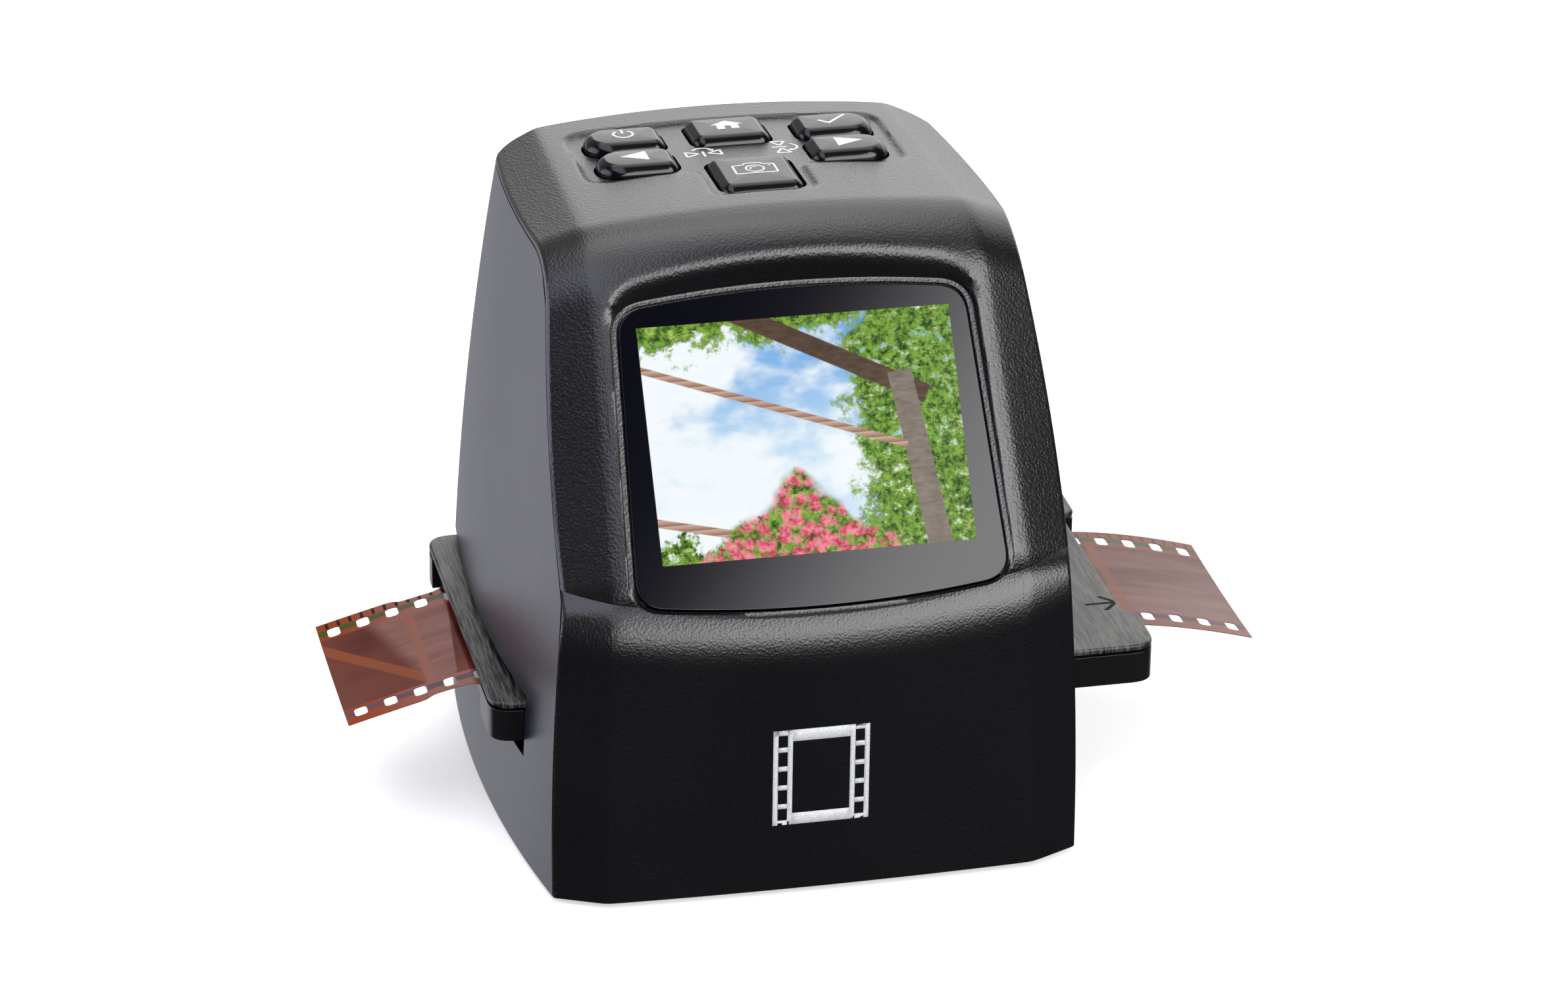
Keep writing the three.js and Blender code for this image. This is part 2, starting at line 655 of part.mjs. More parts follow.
const keyLipTop = (key) => topLine(key.setback + keySize(key)[1] / 2) - WALL - GAP;
const lipFloor = Math.min(...keys.map((key) => keyLipTop(key))) - KEY_LIP_THICK;
const stemFoot = lipFloor - STEM_LENGTH;
const plungerTop = stemFoot - KEY_TRAVEL - GAP;
const keyBoardTop = plungerTop - PLUNGER_HEIGHT - SWITCH_HEIGHT - GAP;
const mainBoardLow = keyBoardTop - MAIN_BOARD_DROP;

function keyCap(key) {
  const top = topLine(key.setback) + KEY_RISE;
  const lipTop = keyLipTop(key);
  const dome = KEY_DOME_SHARES.map(([drawn, drop]) => [-drawn * KEY_DOME, top - drop * KEY_DOME]);
  const ring = ([grow, z]) => keyOutline(key, grow).map(([x, y]) => [x, y, z]);
  const cap = loft([[0, lipTop], ...dome].map(ring));
  const lip = prism(keyOutline(key, KEY_LIP), lipTop - KEY_LIP_THICK, lipTop);
  const stem = post(STEM_RADIUS, lipTop - stemFoot, key.x, behind(key.setback), stemFoot);
  return united([cap, lip, stem]);
}

function panelOutline() {
  const half = SIDE_KEY_X + SIDE_KEY_WIDTH / 2 + PANEL_MARGIN;
  const rear = HOME_KEY_SETBACK + HOME_KEY_DEPTH / 2 + TONGUE_MARGIN;
  const step = LOWER_KEY_SETBACK - SIDE_KEY_DEPTH / 2 - TONGUE_MARGIN;
  const front = CAPTURE_KEY_SETBACK - CAPTURE_KEY_DEPTH / 2 - TONGUE_MARGIN;
  const tongue = CAPTURE_KEY_WIDTH / 2 + TONGUE_MARGIN;
  const right = [
    [tongue, front, PANEL_ROUND / 2],
    [tongue, step, PANEL_ROUND / 2],
    [half, step, PANEL_ROUND],
    [half, rear, PANEL_ROUND],
  ];
  const left = right.map(([x, y, reach]) => [-x, y, reach]).reverse();
  return softened([...right, ...left].map(([x, setback, reach]) => [x, behind(setback), reach]));
}

// Film path

const trayMiddle = behind(FILM_SETBACK);
const trayFront = trayMiddle - TRAY_WIDTH / 2;
const trayRear = trayMiddle + TRAY_WIDTH / 2;
const channelHalf = FILM_WIDTH / 2 + CHANNEL_PLAY;

function trayOutline(setIn) {
  const edge = channelHalf + NOTCH_RUN;
  const mouth = channelHalf + NOTCH_RUN + MOUTH_SET_IN;
  const leftEnd = -TRAY_LEFT + setIn;
  const corners = [
    [TRAY_RIGHT, -TRAY_WIDTH / 2, TRAY_ROUND],
    [TRAY_RIGHT, -edge, NOTCH_RUN / 2],
    [TRAY_RIGHT - NOTCH_DEPTH, -channelHalf, NOTCH_RUN / 2],
    [TRAY_RIGHT - NOTCH_DEPTH, channelHalf, NOTCH_RUN / 2],
    [TRAY_RIGHT, edge, NOTCH_RUN / 2],
    [TRAY_RIGHT, TRAY_WIDTH / 2, TRAY_ROUND],
    [-TRAY_LEFT, TRAY_WIDTH / 2, TRAY_ROUND],
    [-TRAY_LEFT, TRAY_WIDTH / 2 - TRAY_END_STEP, 0],
    [leftEnd, TRAY_WIDTH / 2 - TRAY_END_STEP, 0],
    [leftEnd, -mouth, 0],
    [-TRAY_LEFT, -mouth, 0],
    [-TRAY_LEFT, -TRAY_WIDTH / 2, TRAY_ROUND],
  ];
  const distinct = corners.filter(([x, y], index) => {
    const [nextX, nextY] = corners[(index + 1) % corners.length];
    return x !== nextX || y !== nextY;
  });
  return moved(softened(distinct), 0, trayMiddle);
}

function trayCoverTopOutline(outline) {
  const half = TRAY_WIDTH / 2;
  const middleX = (TRAY_RIGHT - TRAY_LEFT) / 2;
  const halfLength = (TRAY_RIGHT + TRAY_LEFT) / 2;
  return outline.map(([x, y]) => [
    middleX + (x - middleX) * (1 - TRAY_BEVEL / halfLength),
    trayMiddle + (y - trayMiddle) * (1 - TRAY_BEVEL / half),
  ]);
}

const gate = (low, high, grow) =>
  box(GATE_LENGTH + 2 * grow, GATE_WIDTH + 2 * grow, high - low, 0, trayMiddle, low);
const hingeY = trayRear - HINGE_LUG_THICK / 2 - GAP;
const hingeZ = TRAY_SPLIT - HINGE_LUG_THICK / 2;
const hingeMiddles = [-HINGE_PLACE, HINGE_PLACE];

function pinAlongX(radius, length, x, y, z) {
  const geometry = new THREE.CylinderGeometry(radius, radius, length, HEAD_SIDES);
  return toSolid(geometry.rotateZ(Math.PI / 2).translate(x, y, z));
}

function trayBase() {
  const bed = FILM_HEIGHT - BED_DROP;
  const length = TRAY_LEFT + TRAY_RIGHT + 2 * OVERRUN;
  let solid = prism(trayOutline(MOUTH_SET_IN), TRAY_BOTTOM, TRAY_SPLIT);
  solid = solid.subtract(box(length, 2 * channelHalf, OVERRUN, 0, trayMiddle, bed));
  solid = solid.subtract(gate(TRAY_BOTTOM - OVERRUN, bed + OVERRUN, 0));
  const notch = HINGE_LUG_LENGTH + 2 * GAP;
  const deep = HINGE_LUG_THICK + 2 * GAP;
  const reach = deep + OVERRUN;
  const pinHole = notch + 2 * (HINGE_PIN_BITE + GAP);
  hingeMiddles.forEach((x) => {
    solid = solid.subtract(box(notch, reach, reach, x, hingeY - deep / 2 + reach / 2, hingeZ - deep / 2));
    solid = solid.subtract(pinAlongX(HINGE_PIN_RADIUS + GAP, pinHole, x, hingeY, hingeZ));
  });
  return solid;
}

function trayCover() {
  const outline = trayOutline(0);
  const low = TRAY_SPLIT + GAP;
  const ring = (shape, z) => shape.map(([x, y]) => [x, y, z]);
  let solid = loft([
    ring(outline, low),
    ring(outline, TRAY_TOP - TRAY_BEVEL / 2),
    ring(trayCoverTopOutline(outline), TRAY_TOP),
  ]);
  const padLow = FILM_HEIGHT + FILM_THICK + PAD_LIFT;
  const padLength = TRAY_LEFT + TRAY_RIGHT - 2 * NOTCH_DEPTH - 2 * MOUTH_SET_IN;
  const padMiddle = (TRAY_RIGHT - TRAY_LEFT) / 2 - NOTCH_DEPTH / 2;
  solid = solid.add(box(padLength, FILM_WIDTH, low + GAP - padLow, padMiddle, trayMiddle, padLow));
  const lugLow = hingeZ - HINGE_LUG_THICK / 2;
  hingeMiddles.forEach((x) => {
    solid = solid.add(box(HINGE_LUG_LENGTH, HINGE_LUG_THICK, low + GAP - lugLow, x, hingeY, lugLow));
    solid = solid.subtract(pinAlongX(HINGE_PIN_RADIUS + GAP, HINGE_LUG_LENGTH + GAP, x, hingeY, hingeZ));
  });
  return solid.subtract(gate(padLow - OVERRUN, TRAY_TOP + OVERRUN, 0));
}

// Height of the film's underside: flat in the tray, drooping at both free ends
function filmHeight(x) {
  const rightMouth = TRAY_RIGHT - NOTCH_DEPTH;
  if (x > rightMouth) {
    const share = (x - rightMouth) / (FILM_RIGHT - rightMouth);
    return FILM_HEIGHT - FILM_DROOP_RIGHT * share ** DROOP_POWER_RIGHT;
  }
  if (x < -TRAY_LEFT) {
    const share = (-x - TRAY_LEFT) / (FILM_LEFT - TRAY_LEFT);
    return FILM_HEIGHT - FILM_DROOP_LEFT * share ** DROOP_POWER_LEFT;
  }
  return FILM_HEIGHT;
}

// Film as a grid of cells, with the perforations' cells left open
function filmStrip() {
  const length = FILM_LEFT + FILM_RIGHT;
  const holes = Math.floor((length - PERFORATION_LENGTH) / PERFORATION_PITCH);
  const margin = (length - (holes - 1) * PERFORATION_PITCH - PERFORATION_LENGTH) / 2;
  const across = [0];
  for (let hole = 0; hole < holes; hole += 1) {
    const start = margin + hole * PERFORATION_PITCH;
    across.push(start, start + PERFORATION_LENGTH);
  }
  across.push(length);
  const lines = [0, PERFORATION_EDGE, PERFORATION_EDGE + PERFORATION_WIDTH];
  const along = [...lines, ...lines.map((line) => FILM_WIDTH - line).reverse()];
  const open = (i, j) => i % 2 === 1 && (j === 1 || j === 3);
  const onFilm = (i, j) => i >= 0 && j >= 0 && i + 1 < across.length && j + 1 < along.length;
  const inside = (i, j) => onFilm(i, j) && !open(i, j);
  const corner = (i, j, lift) => {
    const x = across[i] - FILM_LEFT;
    return new THREE.Vector3(x, trayMiddle - FILM_WIDTH / 2 + along[j], filmHeight(x) + lift);
  };
  const points = [];
  const quad = (a, b, c, d) => points.push(a, b, c, a, c, d);
  for (let i = 0; i + 1 < across.length; i += 1) {
    for (let j = 0; j + 1 < along.length; j += 1) {
      if (!inside(i, j)) continue;
      const at = (di, dj, top) => corner(i + di, j + dj, top * FILM_THICK);
      quad(at(0, 0, 1), at(1, 0, 1), at(1, 1, 1), at(0, 1, 1));
      quad(at(0, 0, 0), at(0, 1, 0), at(1, 1, 0), at(1, 0, 0));
      if (!inside(i, j - 1)) quad(at(0, 0, 0), at(1, 0, 0), at(1, 0, 1), at(0, 0, 1));
      if (!inside(i, j + 1)) quad(at(0, 1, 0), at(0, 1, 1), at(1, 1, 1), at(1, 1, 0));
      if (!inside(i - 1, j)) quad(at(0, 0, 0), at(0, 0, 1), at(0, 1, 1), at(0, 1, 0));
      if (!inside(i + 1, j)) quad(at(1, 0, 0), at(1, 1, 0), at(1, 1, 1), at(1, 0, 1));
    }
  }
  return toSolid(new THREE.BufferGeometry().setFromPoints(points));
}

// Guides

const guideDeck = GUIDE_FLOOR + GUIDE_PLATE;
const fenceTop = TRAY_TOP + GAP;
const guideHalf = sideHalf(SLOT_FRONT, fenceTop, WALL) - GAP;
const fenceFront = trayFront - GAP - FENCE_THICK;
const fenceRear = trayRear + GAP + FENCE_THICK;
const guideMiddle = (fenceFront + fenceRear) / 2;
const guideDepth = fenceRear - fenceFront;
const legYs = [fenceFront + LEG_SIDE / 2, fenceRear - LEG_SIDE / 2];

const insideHousing = () => sideSolid(WALL + GAP, 0, ceiling);

function guideLower() {
  const railTop = TRAY_BOTTOM - GAP;
  const run = (width, top, y) => box(2 * guideHalf, width, top - GUIDE_FLOOR, 0, y, GUIDE_FLOOR);
  const pieces = [
    run(guideDepth, guideDeck, guideMiddle),
    run(FENCE_THICK, fenceTop, fenceFront + FENCE_THICK / 2),
    run(FENCE_THICK, fenceTop, fenceRear - FENCE_THICK / 2),
    run(RAIL_WIDTH, railTop, fenceFront + RAIL_WIDTH / 2),
    run(RAIL_WIDTH, railTop, fenceRear - RAIL_WIDTH / 2),
  ];
  const legLow = PLATE_THICK + GAP;
  [-LEG_PLACE_X, LEG_PLACE_X].forEach((x) => legYs.forEach((y) => {
    pieces.push(box(LEG_SIDE, LEG_SIDE, guideDeck - legLow, x, y, legLow));
  }));
  const low = GUIDE_FLOOR - OVERRUN;
  const deep = guideDeck + OVERRUN - low;
  const opening = box(LIGHT_LENGTH + 2 * GAP, LIGHT_WIDTH + 2 * GAP, deep, 0, trayMiddle, low);
  return united(pieces).intersect(insideHousing()).subtract(opening);
}

const upperGuideLow = fenceTop + GAP;
const upperGuideTop = upperGuideLow + GUIDE_TOP_THICK;
const tunnelScrewX = TUNNEL_FOOT_LENGTH / 2 + FLANGE_REACH / 2;
const flangeTop = upperGuideTop + GAP + FLANGE_THICK;

function guideUpper() {
  const plate = box(2 * guideHalf, guideDepth, GUIDE_TOP_THICK, 0, guideMiddle, upperGuideLow);
  const holes = [-tunnelScrewX, tunnelScrewX].map((x) =>
    post(SHANK_RADIUS + SCREW_PLAY, GUIDE_TOP_THICK + OVERRUN, x, trayMiddle, upperGuideLow - OVERRUN / 2));
  const cuts = united([gate(upperGuideLow - OVERRUN, upperGuideTop + OVERRUN, 0), ...holes]);
  return plate.intersect(insideHousing()).subtract(cuts);
}

// Light box, its board and its diffuser

function lightBox() {
  const low = PLATE_THICK + GAP;
  const high = GUIDE_FLOOR - GAP;
  const outer = box(LIGHT_LENGTH, LIGHT_WIDTH, high - low, 0, trayMiddle, low);
  const [length, width] = [LIGHT_LENGTH - 2 * LIGHT_WALL, LIGHT_WIDTH - 2 * LIGHT_WALL];
  return outer.subtract(box(length, width, high, 0, trayMiddle, low + LIGHT_WALL));
}

function ledBoard() {
  const low = PLATE_THICK + GAP + LIGHT_WALL + GAP;
  const length = LIGHT_LENGTH - 2 * LIGHT_WALL - 2 * GAP;
  const width = LIGHT_WIDTH - 2 * LIGHT_WALL - 2 * GAP;
  const pieces = [box(length, width, BOARD_THICK, 0, trayMiddle, low)];
  const foot = low + BOARD_THICK - GAP;
  [-1, 0, 1].forEach((i) => [-1, 1].forEach((j) => {
    const y = trayMiddle + (j * LED_PITCH) / 2;
    pieces.push(box(LED_SIDE, LED_SIDE, LED_HEIGHT + GAP, i * LED_PITCH, y, foot));
  }));
  return united(pieces);
}

const diffuserPlate = () => box(LIGHT_LENGTH, LIGHT_WIDTH, DIFFUSER_THICK, 0, trayMiddle, GUIDE_FLOOR);

// Camera: tunnel, holder, barrel, lens and sensor

const tunnelLow = upperGuideTop + GAP;
const tunnelTop = mainBoardLow - CAMERA_ROOM;
const holderLow = tunnelTop + GAP;
const holderTop = holderLow + HOLDER_HEIGHT;

function lightTunnel() {
  const square = (length, width, z) =>
    roundedOutline(length, width, TUNNEL_WALL, TUNNEL_WALL).map(([x, y]) => [x, y + trayMiddle, z]);
  const outer = loft([
    square(TUNNEL_FOOT_LENGTH, TUNNEL_FOOT_WIDTH, tunnelLow),
    square(TUNNEL_TOP_SIDE, TUNNEL_TOP_SIDE, tunnelTop),
  ]);
  const thin = 2 * TUNNEL_WALL;
  const inner = loft([
    square(TUNNEL_FOOT_LENGTH - thin, TUNNEL_FOOT_WIDTH - thin, tunnelLow - GAP),
    square(TUNNEL_TOP_SIDE - 2 * thin, TUNNEL_TOP_SIDE - 2 * thin, tunnelTop + GAP),
  ]);
  const flangeLength = TUNNEL_FOOT_LENGTH + 2 * FLANGE_REACH;
  const flange = box(flangeLength, TUNNEL_FOOT_WIDTH, FLANGE_THICK, 0, trayMiddle, tunnelLow);
  const holes = [-tunnelScrewX, tunnelScrewX].map((x) =>
    post(SHANK_RADIUS + SCREW_PLAY, FLANGE_THICK + OVERRUN, x, trayMiddle, tunnelLow - OVERRUN / 2));
  return united([outer, flange]).subtract(united([inner, ...holes]));
}

function lensHolder() {
  const outer = box(HOLDER_SIDE, HOLDER_SIDE, HOLDER_HEIGHT, 0, trayMiddle, holderLow);
  const bore = post(BARREL_RADIUS + GAP, HOLDER_HEIGHT + OVERRUN, 0, trayMiddle, holderLow - OVERRUN / 2);
  const side = SENSOR_SIDE + 2 * GAP;
  const window = box(side, side, HOLDER_HEIGHT, 0, trayMiddle, holderTop - SENSOR_THICK - 2 * GAP);
  return outer.subtract(bore).subtract(window);
}

function lensBarrel() {
  const low = holderLow + GAP;
  const outer = post(BARREL_RADIUS, BARREL_HEIGHT, 0, trayMiddle, low);
  const bore = post(LENS_RADIUS - GAP, BARREL_HEIGHT + OVERRUN, 0, trayMiddle, low - OVERRUN / 2);
  const seat = post(LENS_RADIUS + GAP, LENS_THICK + GAP + OVERRUN, 0, trayMiddle, low - OVERRUN);
  return outer.subtract(bore).subtract(seat);
}

function lensGlass() {
  const low = holderLow + GAP;
  const half = LENS_THICK / 2;
  const upper = LENS_SHARES.map(([across, up]) => new THREE.Vector2(across * LENS_RADIUS, up * half));
  const lower = upper.map((point) => new THREE.Vector2(point.x, -point.y)).reverse();
  const profile = [...lower, ...upper];
  const geometry = new THREE.LatheGeometry(profile, ROUND_STEPS);
  return toSolid(geometry.rotateX(Math.PI / 2).translate(0, trayMiddle, low + half));
}

// Flat boards with screw holes

function board(halfWidth, front, rear, low, holes) {
  const plate = box(2 * halfWidth, rear - front, BOARD_THICK, 0, (front + rear) / 2, low);
  const cuts = holes.map(([x, y]) =>
    post(SHANK_RADIUS + SCREW_PLAY, BOARD_THICK + OVERRUN, x, y, low - OVERRUN / 2, SHANK_SIDES));
  return cuts.length ? plate.subtract(united(cuts)) : plate;
}

const mainScrews = [-1, 1].flatMap((side) =>
  [LUG_FRONT, LUG_REAR].map((setback) => [side * (MAIN_BOARD_HALF - LUG_SIDE / 2), behind(setback)]));
const keyScrews = [-1, 1].flatMap((side) =>
  [KEY_BOARD_FRONT + KEY_SCREW_EDGE, KEY_BOARD_REAR - KEY_SCREW_EDGE].map((setback) =>
    [side * (KEY_BOARD_WIDTH / 2 - KEY_SCREW_EDGE), behind(setback)]));
const baseScrews = [-1, 1].flatMap((side) =>
  [POST_INSET, DEPTH - POST_INSET].map((setback) => [side * POST_X, behind(setback)]));
const feet = [-1, 1].flatMap((side) =>
  [FOOT_INSET, DEPTH - FOOT_INSET].map((setback) => [side * FOOT_X, behind(setback)]));

// Screw with its head down or up, under or over its seat
function screw(x, y, seat, length, direction) {
  const headFar = seat - direction * HEAD_HEIGHT;
  const shankFar = seat + direction * length;
  const between = (radius, from, to, sides) =>
    post(radius, Math.abs(to - from), x, y, Math.min(from, to), sides);
  const head = between(HEAD_RADIUS, seat, headFar, HEAD_SIDES);
  const shank = between(SHANK_RADIUS, seat - direction * (SOCKET_DEPTH / 2), shankFar, SHANK_SIDES);
  const socketFloor = headFar + direction * SOCKET_DEPTH;
  const socket = between(SOCKET_RADIUS, socketFloor, headFar - direction * OVERRUN, SOCKET_SIDES);
  return united([head, shank]).subtract(socket);
}

// Housing pieces

const cardLow = mainBoardLow + BOARD_THICK + GAP;
const cardMiddle = cardLow + CARD_HEIGHT / 2;
const usbMiddle = cardLow + USB_HEIGHT / 2;
const socketRear = (x) => behind(rearAt(Math.abs(x) + CARD_WIDTH / 2, WALL)) - GAP;

function frontCover() {
  const rim = shell.subtract(partingSolid(PARTING_DEPTH - GAP / 2));
  const holeRadius = SHANK_RADIUS + SCREW_PLAY;
  const holeDeep = DISPLAY_THICK + OVERRUN;
  const holeLow = displayLow - OVERRUN;
  const bracketPosts = [-BRACKET_SCREW_X, BRACKET_SCREW_X].map((x) => ({
    column: inWindow(post(BOSS_RADIUS, OVERRUN - displayLow, x, displayMiddle, displayLow, HEAD_SIDES)),
    hole: inWindow(post(holeRadius, holeDeep, x, displayMiddle, holeLow, SHANK_SIDES)),
  }));
  const keyPosts = keyScrews.map(([x, y]) => {
    const low = keyBoardTop + GAP;
    const depth = STEM_LENGTH + PLUNGER_HEIGHT + GAP;
    return {
      column: post(BOSS_RADIUS, BROW_HEIGHT + OVERRUN - low, x, y, low, HEAD_SIDES),
      hole: post(holeRadius, depth + OVERRUN, x, y, low - OVERRUN, SHANK_SIDES),
    };
  });
  const posts = [...bracketPosts, ...keyPosts];
  const columns = united(posts.map(({ column }) => column)).intersect(outerBody);
  let solid = united([rim, windowPad(), columns]).subtract(windowRecess());
  solid = solid.subtract(united(posts.map(({ hole }) => hole)));
  const sunk = prism(panelOutline(), stemFoot, BROW_HEIGHT + OVERRUN).subtract(faceSolid(PANEL_DEPTH, 1));
  solid = solid.subtract(sunk);
  const keyHoles = keys.map((key) => prism(keyOutline(key, KEY_PLAY), lipFloor, BROW_HEIGHT + OVERRUN));
  return solid.subtract(united(keyHoles));
}

function rearHousing() {
  let solid = shell.intersect(partingSolid(PARTING_DEPTH + GAP / 2));
  const slotMiddle = behind((SLOT_REAR + SLOT_FRONT) / 2);
  const slotLength = 2 * (HALF_WIDTH + OVERRUN);
  const slot = box(slotLength, SLOT_REAR - SLOT_FRONT, SLOT_HIGH - SLOT_LOW, 0, slotMiddle, SLOT_LOW);
  const webs = baseScrews.map(([x, y]) => {
    const low = PLATE_THICK + GAP;
    const column = post(POST_RADIUS, POST_HEIGHT - low, x, y, low, HEAD_SIDES);
    const reach = HALF_WIDTH - Math.abs(x);
    const web = box(reach, POST_RADIUS, POST_HEIGHT - low, x + Math.sign(x) * (reach / 2), y, low);
    return column.add(web);
  });
  const lugLow = mainBoardLow - GAP - LUG_HEIGHT;
  const lugs = mainScrews.map(([x, y]) => {
    const reach = HALF_WIDTH - Math.abs(x) + LUG_SIDE / 2;
    return box(reach, LUG_SIDE, LUG_HEIGHT, x + Math.sign(x) * (reach / 2 - LUG_SIDE / 2), y, lugLow);
  });
  solid = solid.add(united([...webs, ...lugs]).intersect(outerBody));
  const radius = SHANK_RADIUS + SCREW_PLAY;
  const mouth = (width, height, x, middle) => {
    const tall = height + 2 * GAP;
    return box(width + 2 * GAP, 2 * OVERRUN, tall, x, behind(DEPTH), middle - tall / 2);
  };
  const holes = [
    ...baseScrews.map(([x, y]) =>
      post(radius, BASE_SCREW_LENGTH + OVERRUN, x, y, PLATE_THICK - OVERRUN, SHANK_SIDES)),
    ...mainScrews.map(([x, y]) =>
      post(radius, LUG_HEIGHT + OVERRUN, x, y, lugLow - OVERRUN / 2, SHANK_SIDES)),
    mouth(CARD_SLOT_WIDTH, CARD_SLOT_HEIGHT, CARD_X, cardMiddle),
    mouth(USB_WIDTH, USB_HEIGHT, USB_X, usbMiddle),
  ];
  return solid.subtract(slot).subtract(united(holes));
}

function basePlate() {
  const inset = WALL + GAP;
  const outline = planRing(0, inset).map(([x, y]) => [x, y]);
  const fit = prism(outline, 0, PLATE_THICK).intersect(faceSolid(inset, 0));
  const cuts = baseScrews.flatMap(([x, y]) => [
    post(SHANK_RADIUS + SCREW_PLAY, PLATE_THICK + OVERRUN, x, y, -OVERRUN / 2, SHANK_SIDES),
    post(HEAD_RADIUS + SCREW_PLAY, HEAD_HEIGHT + OVERRUN, x, y, -OVERRUN, HEAD_SIDES),
  ]);
  const seats = feet.map(([x, y]) => post(FOOT_RADIUS + GAP, FOOT_SEAT_DEPTH + OVERRUN, x, y, -OVERRUN));
  return fit.subtract(united([...cuts, ...seats]));
}

function cardSocket() {
  const rear = socketRear(CARD_X);
  const outer = box(CARD_WIDTH, CARD_DEPTH, CARD_HEIGHT, CARD_X, rear - CARD_DEPTH / 2, cardLow);
  const slitY = rear - CARD_DEPTH / 2 + LEDGE_THICK;
  const slitLow = cardMiddle - CARD_SLOT_HEIGHT / 2;
  return outer.subtract(box(CARD_SLOT_WIDTH, CARD_DEPTH, CARD_SLOT_HEIGHT, CARD_X, slitY, slitLow));
}

function usbSocket() {
  const rear = socketRear(USB_X);
  const front = rear - USB_DEPTH;
  const barrel = (shrink, near, far) => {
    const [width, height] = [USB_WIDTH - shrink, USB_HEIGHT - shrink];
    const round = height / 2 - GAP;
    const outline = roundedOutline(width, height, round, round);
    return loft([near, far].map((y) => outline.map(([x, z]) => [x + USB_X, y, z + usbMiddle])));
  };
  const hollow = barrel(2 * USB_SHELL, front + LEDGE_THICK, rear + GAP);
  const length = USB_DEPTH - LEDGE_THICK;
  const tongueLow = usbMiddle - USB_SHELL;
  const tongue = box(USB_WIDTH - USB_HEIGHT, length, 2 * USB_SHELL, USB_X, front + length / 2, tongueLow);
  return barrel(0, front, rear).subtract(hollow).add(tongue);
}

// Assembly

const group = new THREE.Group();
group.name = 'film_negative_scanner';

function add(name, solid, look, parent = group) {
  const mesh = new THREE.Mesh(turnSlivers(toGeometry(solid)), new THREE.MeshStandardMaterial(look));
  mesh.name = name;
  parent.add(mesh);
}

add('front_cover', frontCover(), GRAINED_BLACK);
add('rear_housing', rearHousing(), SMOOTH_BLACK);
add('base_plate', basePlate(), GRAINED_BLACK);
feet.forEach(([x, y], index) => {
  const solid = post(FOOT_RADIUS, FOOT_HEIGHT + FOOT_SEAT_DEPTH, x, y, -FOOT_HEIGHT);
  add(`rubber_foot_${index + 1}`, solid, RUBBER);
});
baseScrews.forEach(([x, y], index) => {
  const solid = screw(x, y, HEAD_HEIGHT - GAP / 2, BASE_SCREW_LENGTH, 1);
  add(`base_screw_${index + 1}`, solid, STEEL);
});

// Pieces of the window and display lie in the tilted frame
const tilted = new THREE.Group();
tilted.applyMatrix4(windowFrame);
group.add(tilted);
const glassPiece = prism(glassOutline(-GLASS_PLAY, -GLASS_PLAY, -GLASS_PLAY), -GLASS_THICK, 0);
add('screen_window', glassPiece, GLOSS_BLACK, tilted);
add('lcd_cell', box(cellWidth, cellHeight, CELL_THICK, 0, displayMiddle, cellLow), PICTURE, tilted);
const backlight = box(DISPLAY_WIDTH, DISPLAY_HEIGHT, DISPLAY_THICK, 0, displayMiddle, displayLow);
add('lcd_backlight', backlight, STEEL, tilted);
const bracketWidth = 2 * (BRACKET_SCREW_X + BRACKET_SCREW_EDGE);
const bracketPlate = box(bracketWidth, BRACKET_HEIGHT, BRACKET_THICK, 0, displayMiddle, bracketLow);
const bracketCuts = [-BRACKET_SCREW_X, BRACKET_SCREW_X].map((x) =>
  post(SHANK_RADIUS + SCREW_PLAY, BRACKET_THICK + OVERRUN, x, displayMiddle, bracketLow - OVERRUN / 2));
add('lcd_bracket', bracketPlate.subtract(united(bracketCuts)), STEEL, tilted);
['left', 'right'].forEach((side, index) => {
  const x = (2 * index - 1) * BRACKET_SCREW_X;
  const solid = screw(x, displayMiddle, bracketLow - GAP, DISPLAY_THICK + BRACKET_THICK, 1);
  add(`lcd_screw_${side}`, solid, STEEL, tilted);
});

// Keys, the board under them and its switches
keys.forEach((key) => add(key.name, keyCap(key), GLOSS_BLACK));
const keyBoardSpan = [behind(KEY_BOARD_FRONT), behind(KEY_BOARD_REAR)];
add('key_board', board(KEY_BOARD_WIDTH / 2, ...keyBoardSpan, keyBoardTop - BOARD_THICK, keyScrews), GREEN);
keys.forEach((key) => {
  const y = behind(key.setback);
  const body = box(SWITCH_SIDE, SWITCH_SIDE, SWITCH_HEIGHT, key.x, y, keyBoardTop + GAP);
  const foot = keyBoardTop + SWITCH_HEIGHT;
  const plunger = post(PLUNGER_RADIUS, PLUNGER_HEIGHT + GAP, key.x, y, foot, SHANK_SIDES);
  add(key.name.replace('button', 'switch'), body.add(plunger), SMOOTH_BLACK);
});
keyScrews.forEach(([x, y], index) => {
  const seat = keyBoardTop - BOARD_THICK - GAP;
  const solid = screw(x, y, seat, BOARD_THICK + STEM_LENGTH + PLUNGER_HEIGHT, 1);
  add(`key_board_screw_${index + 1}`, solid, STEEL);
});

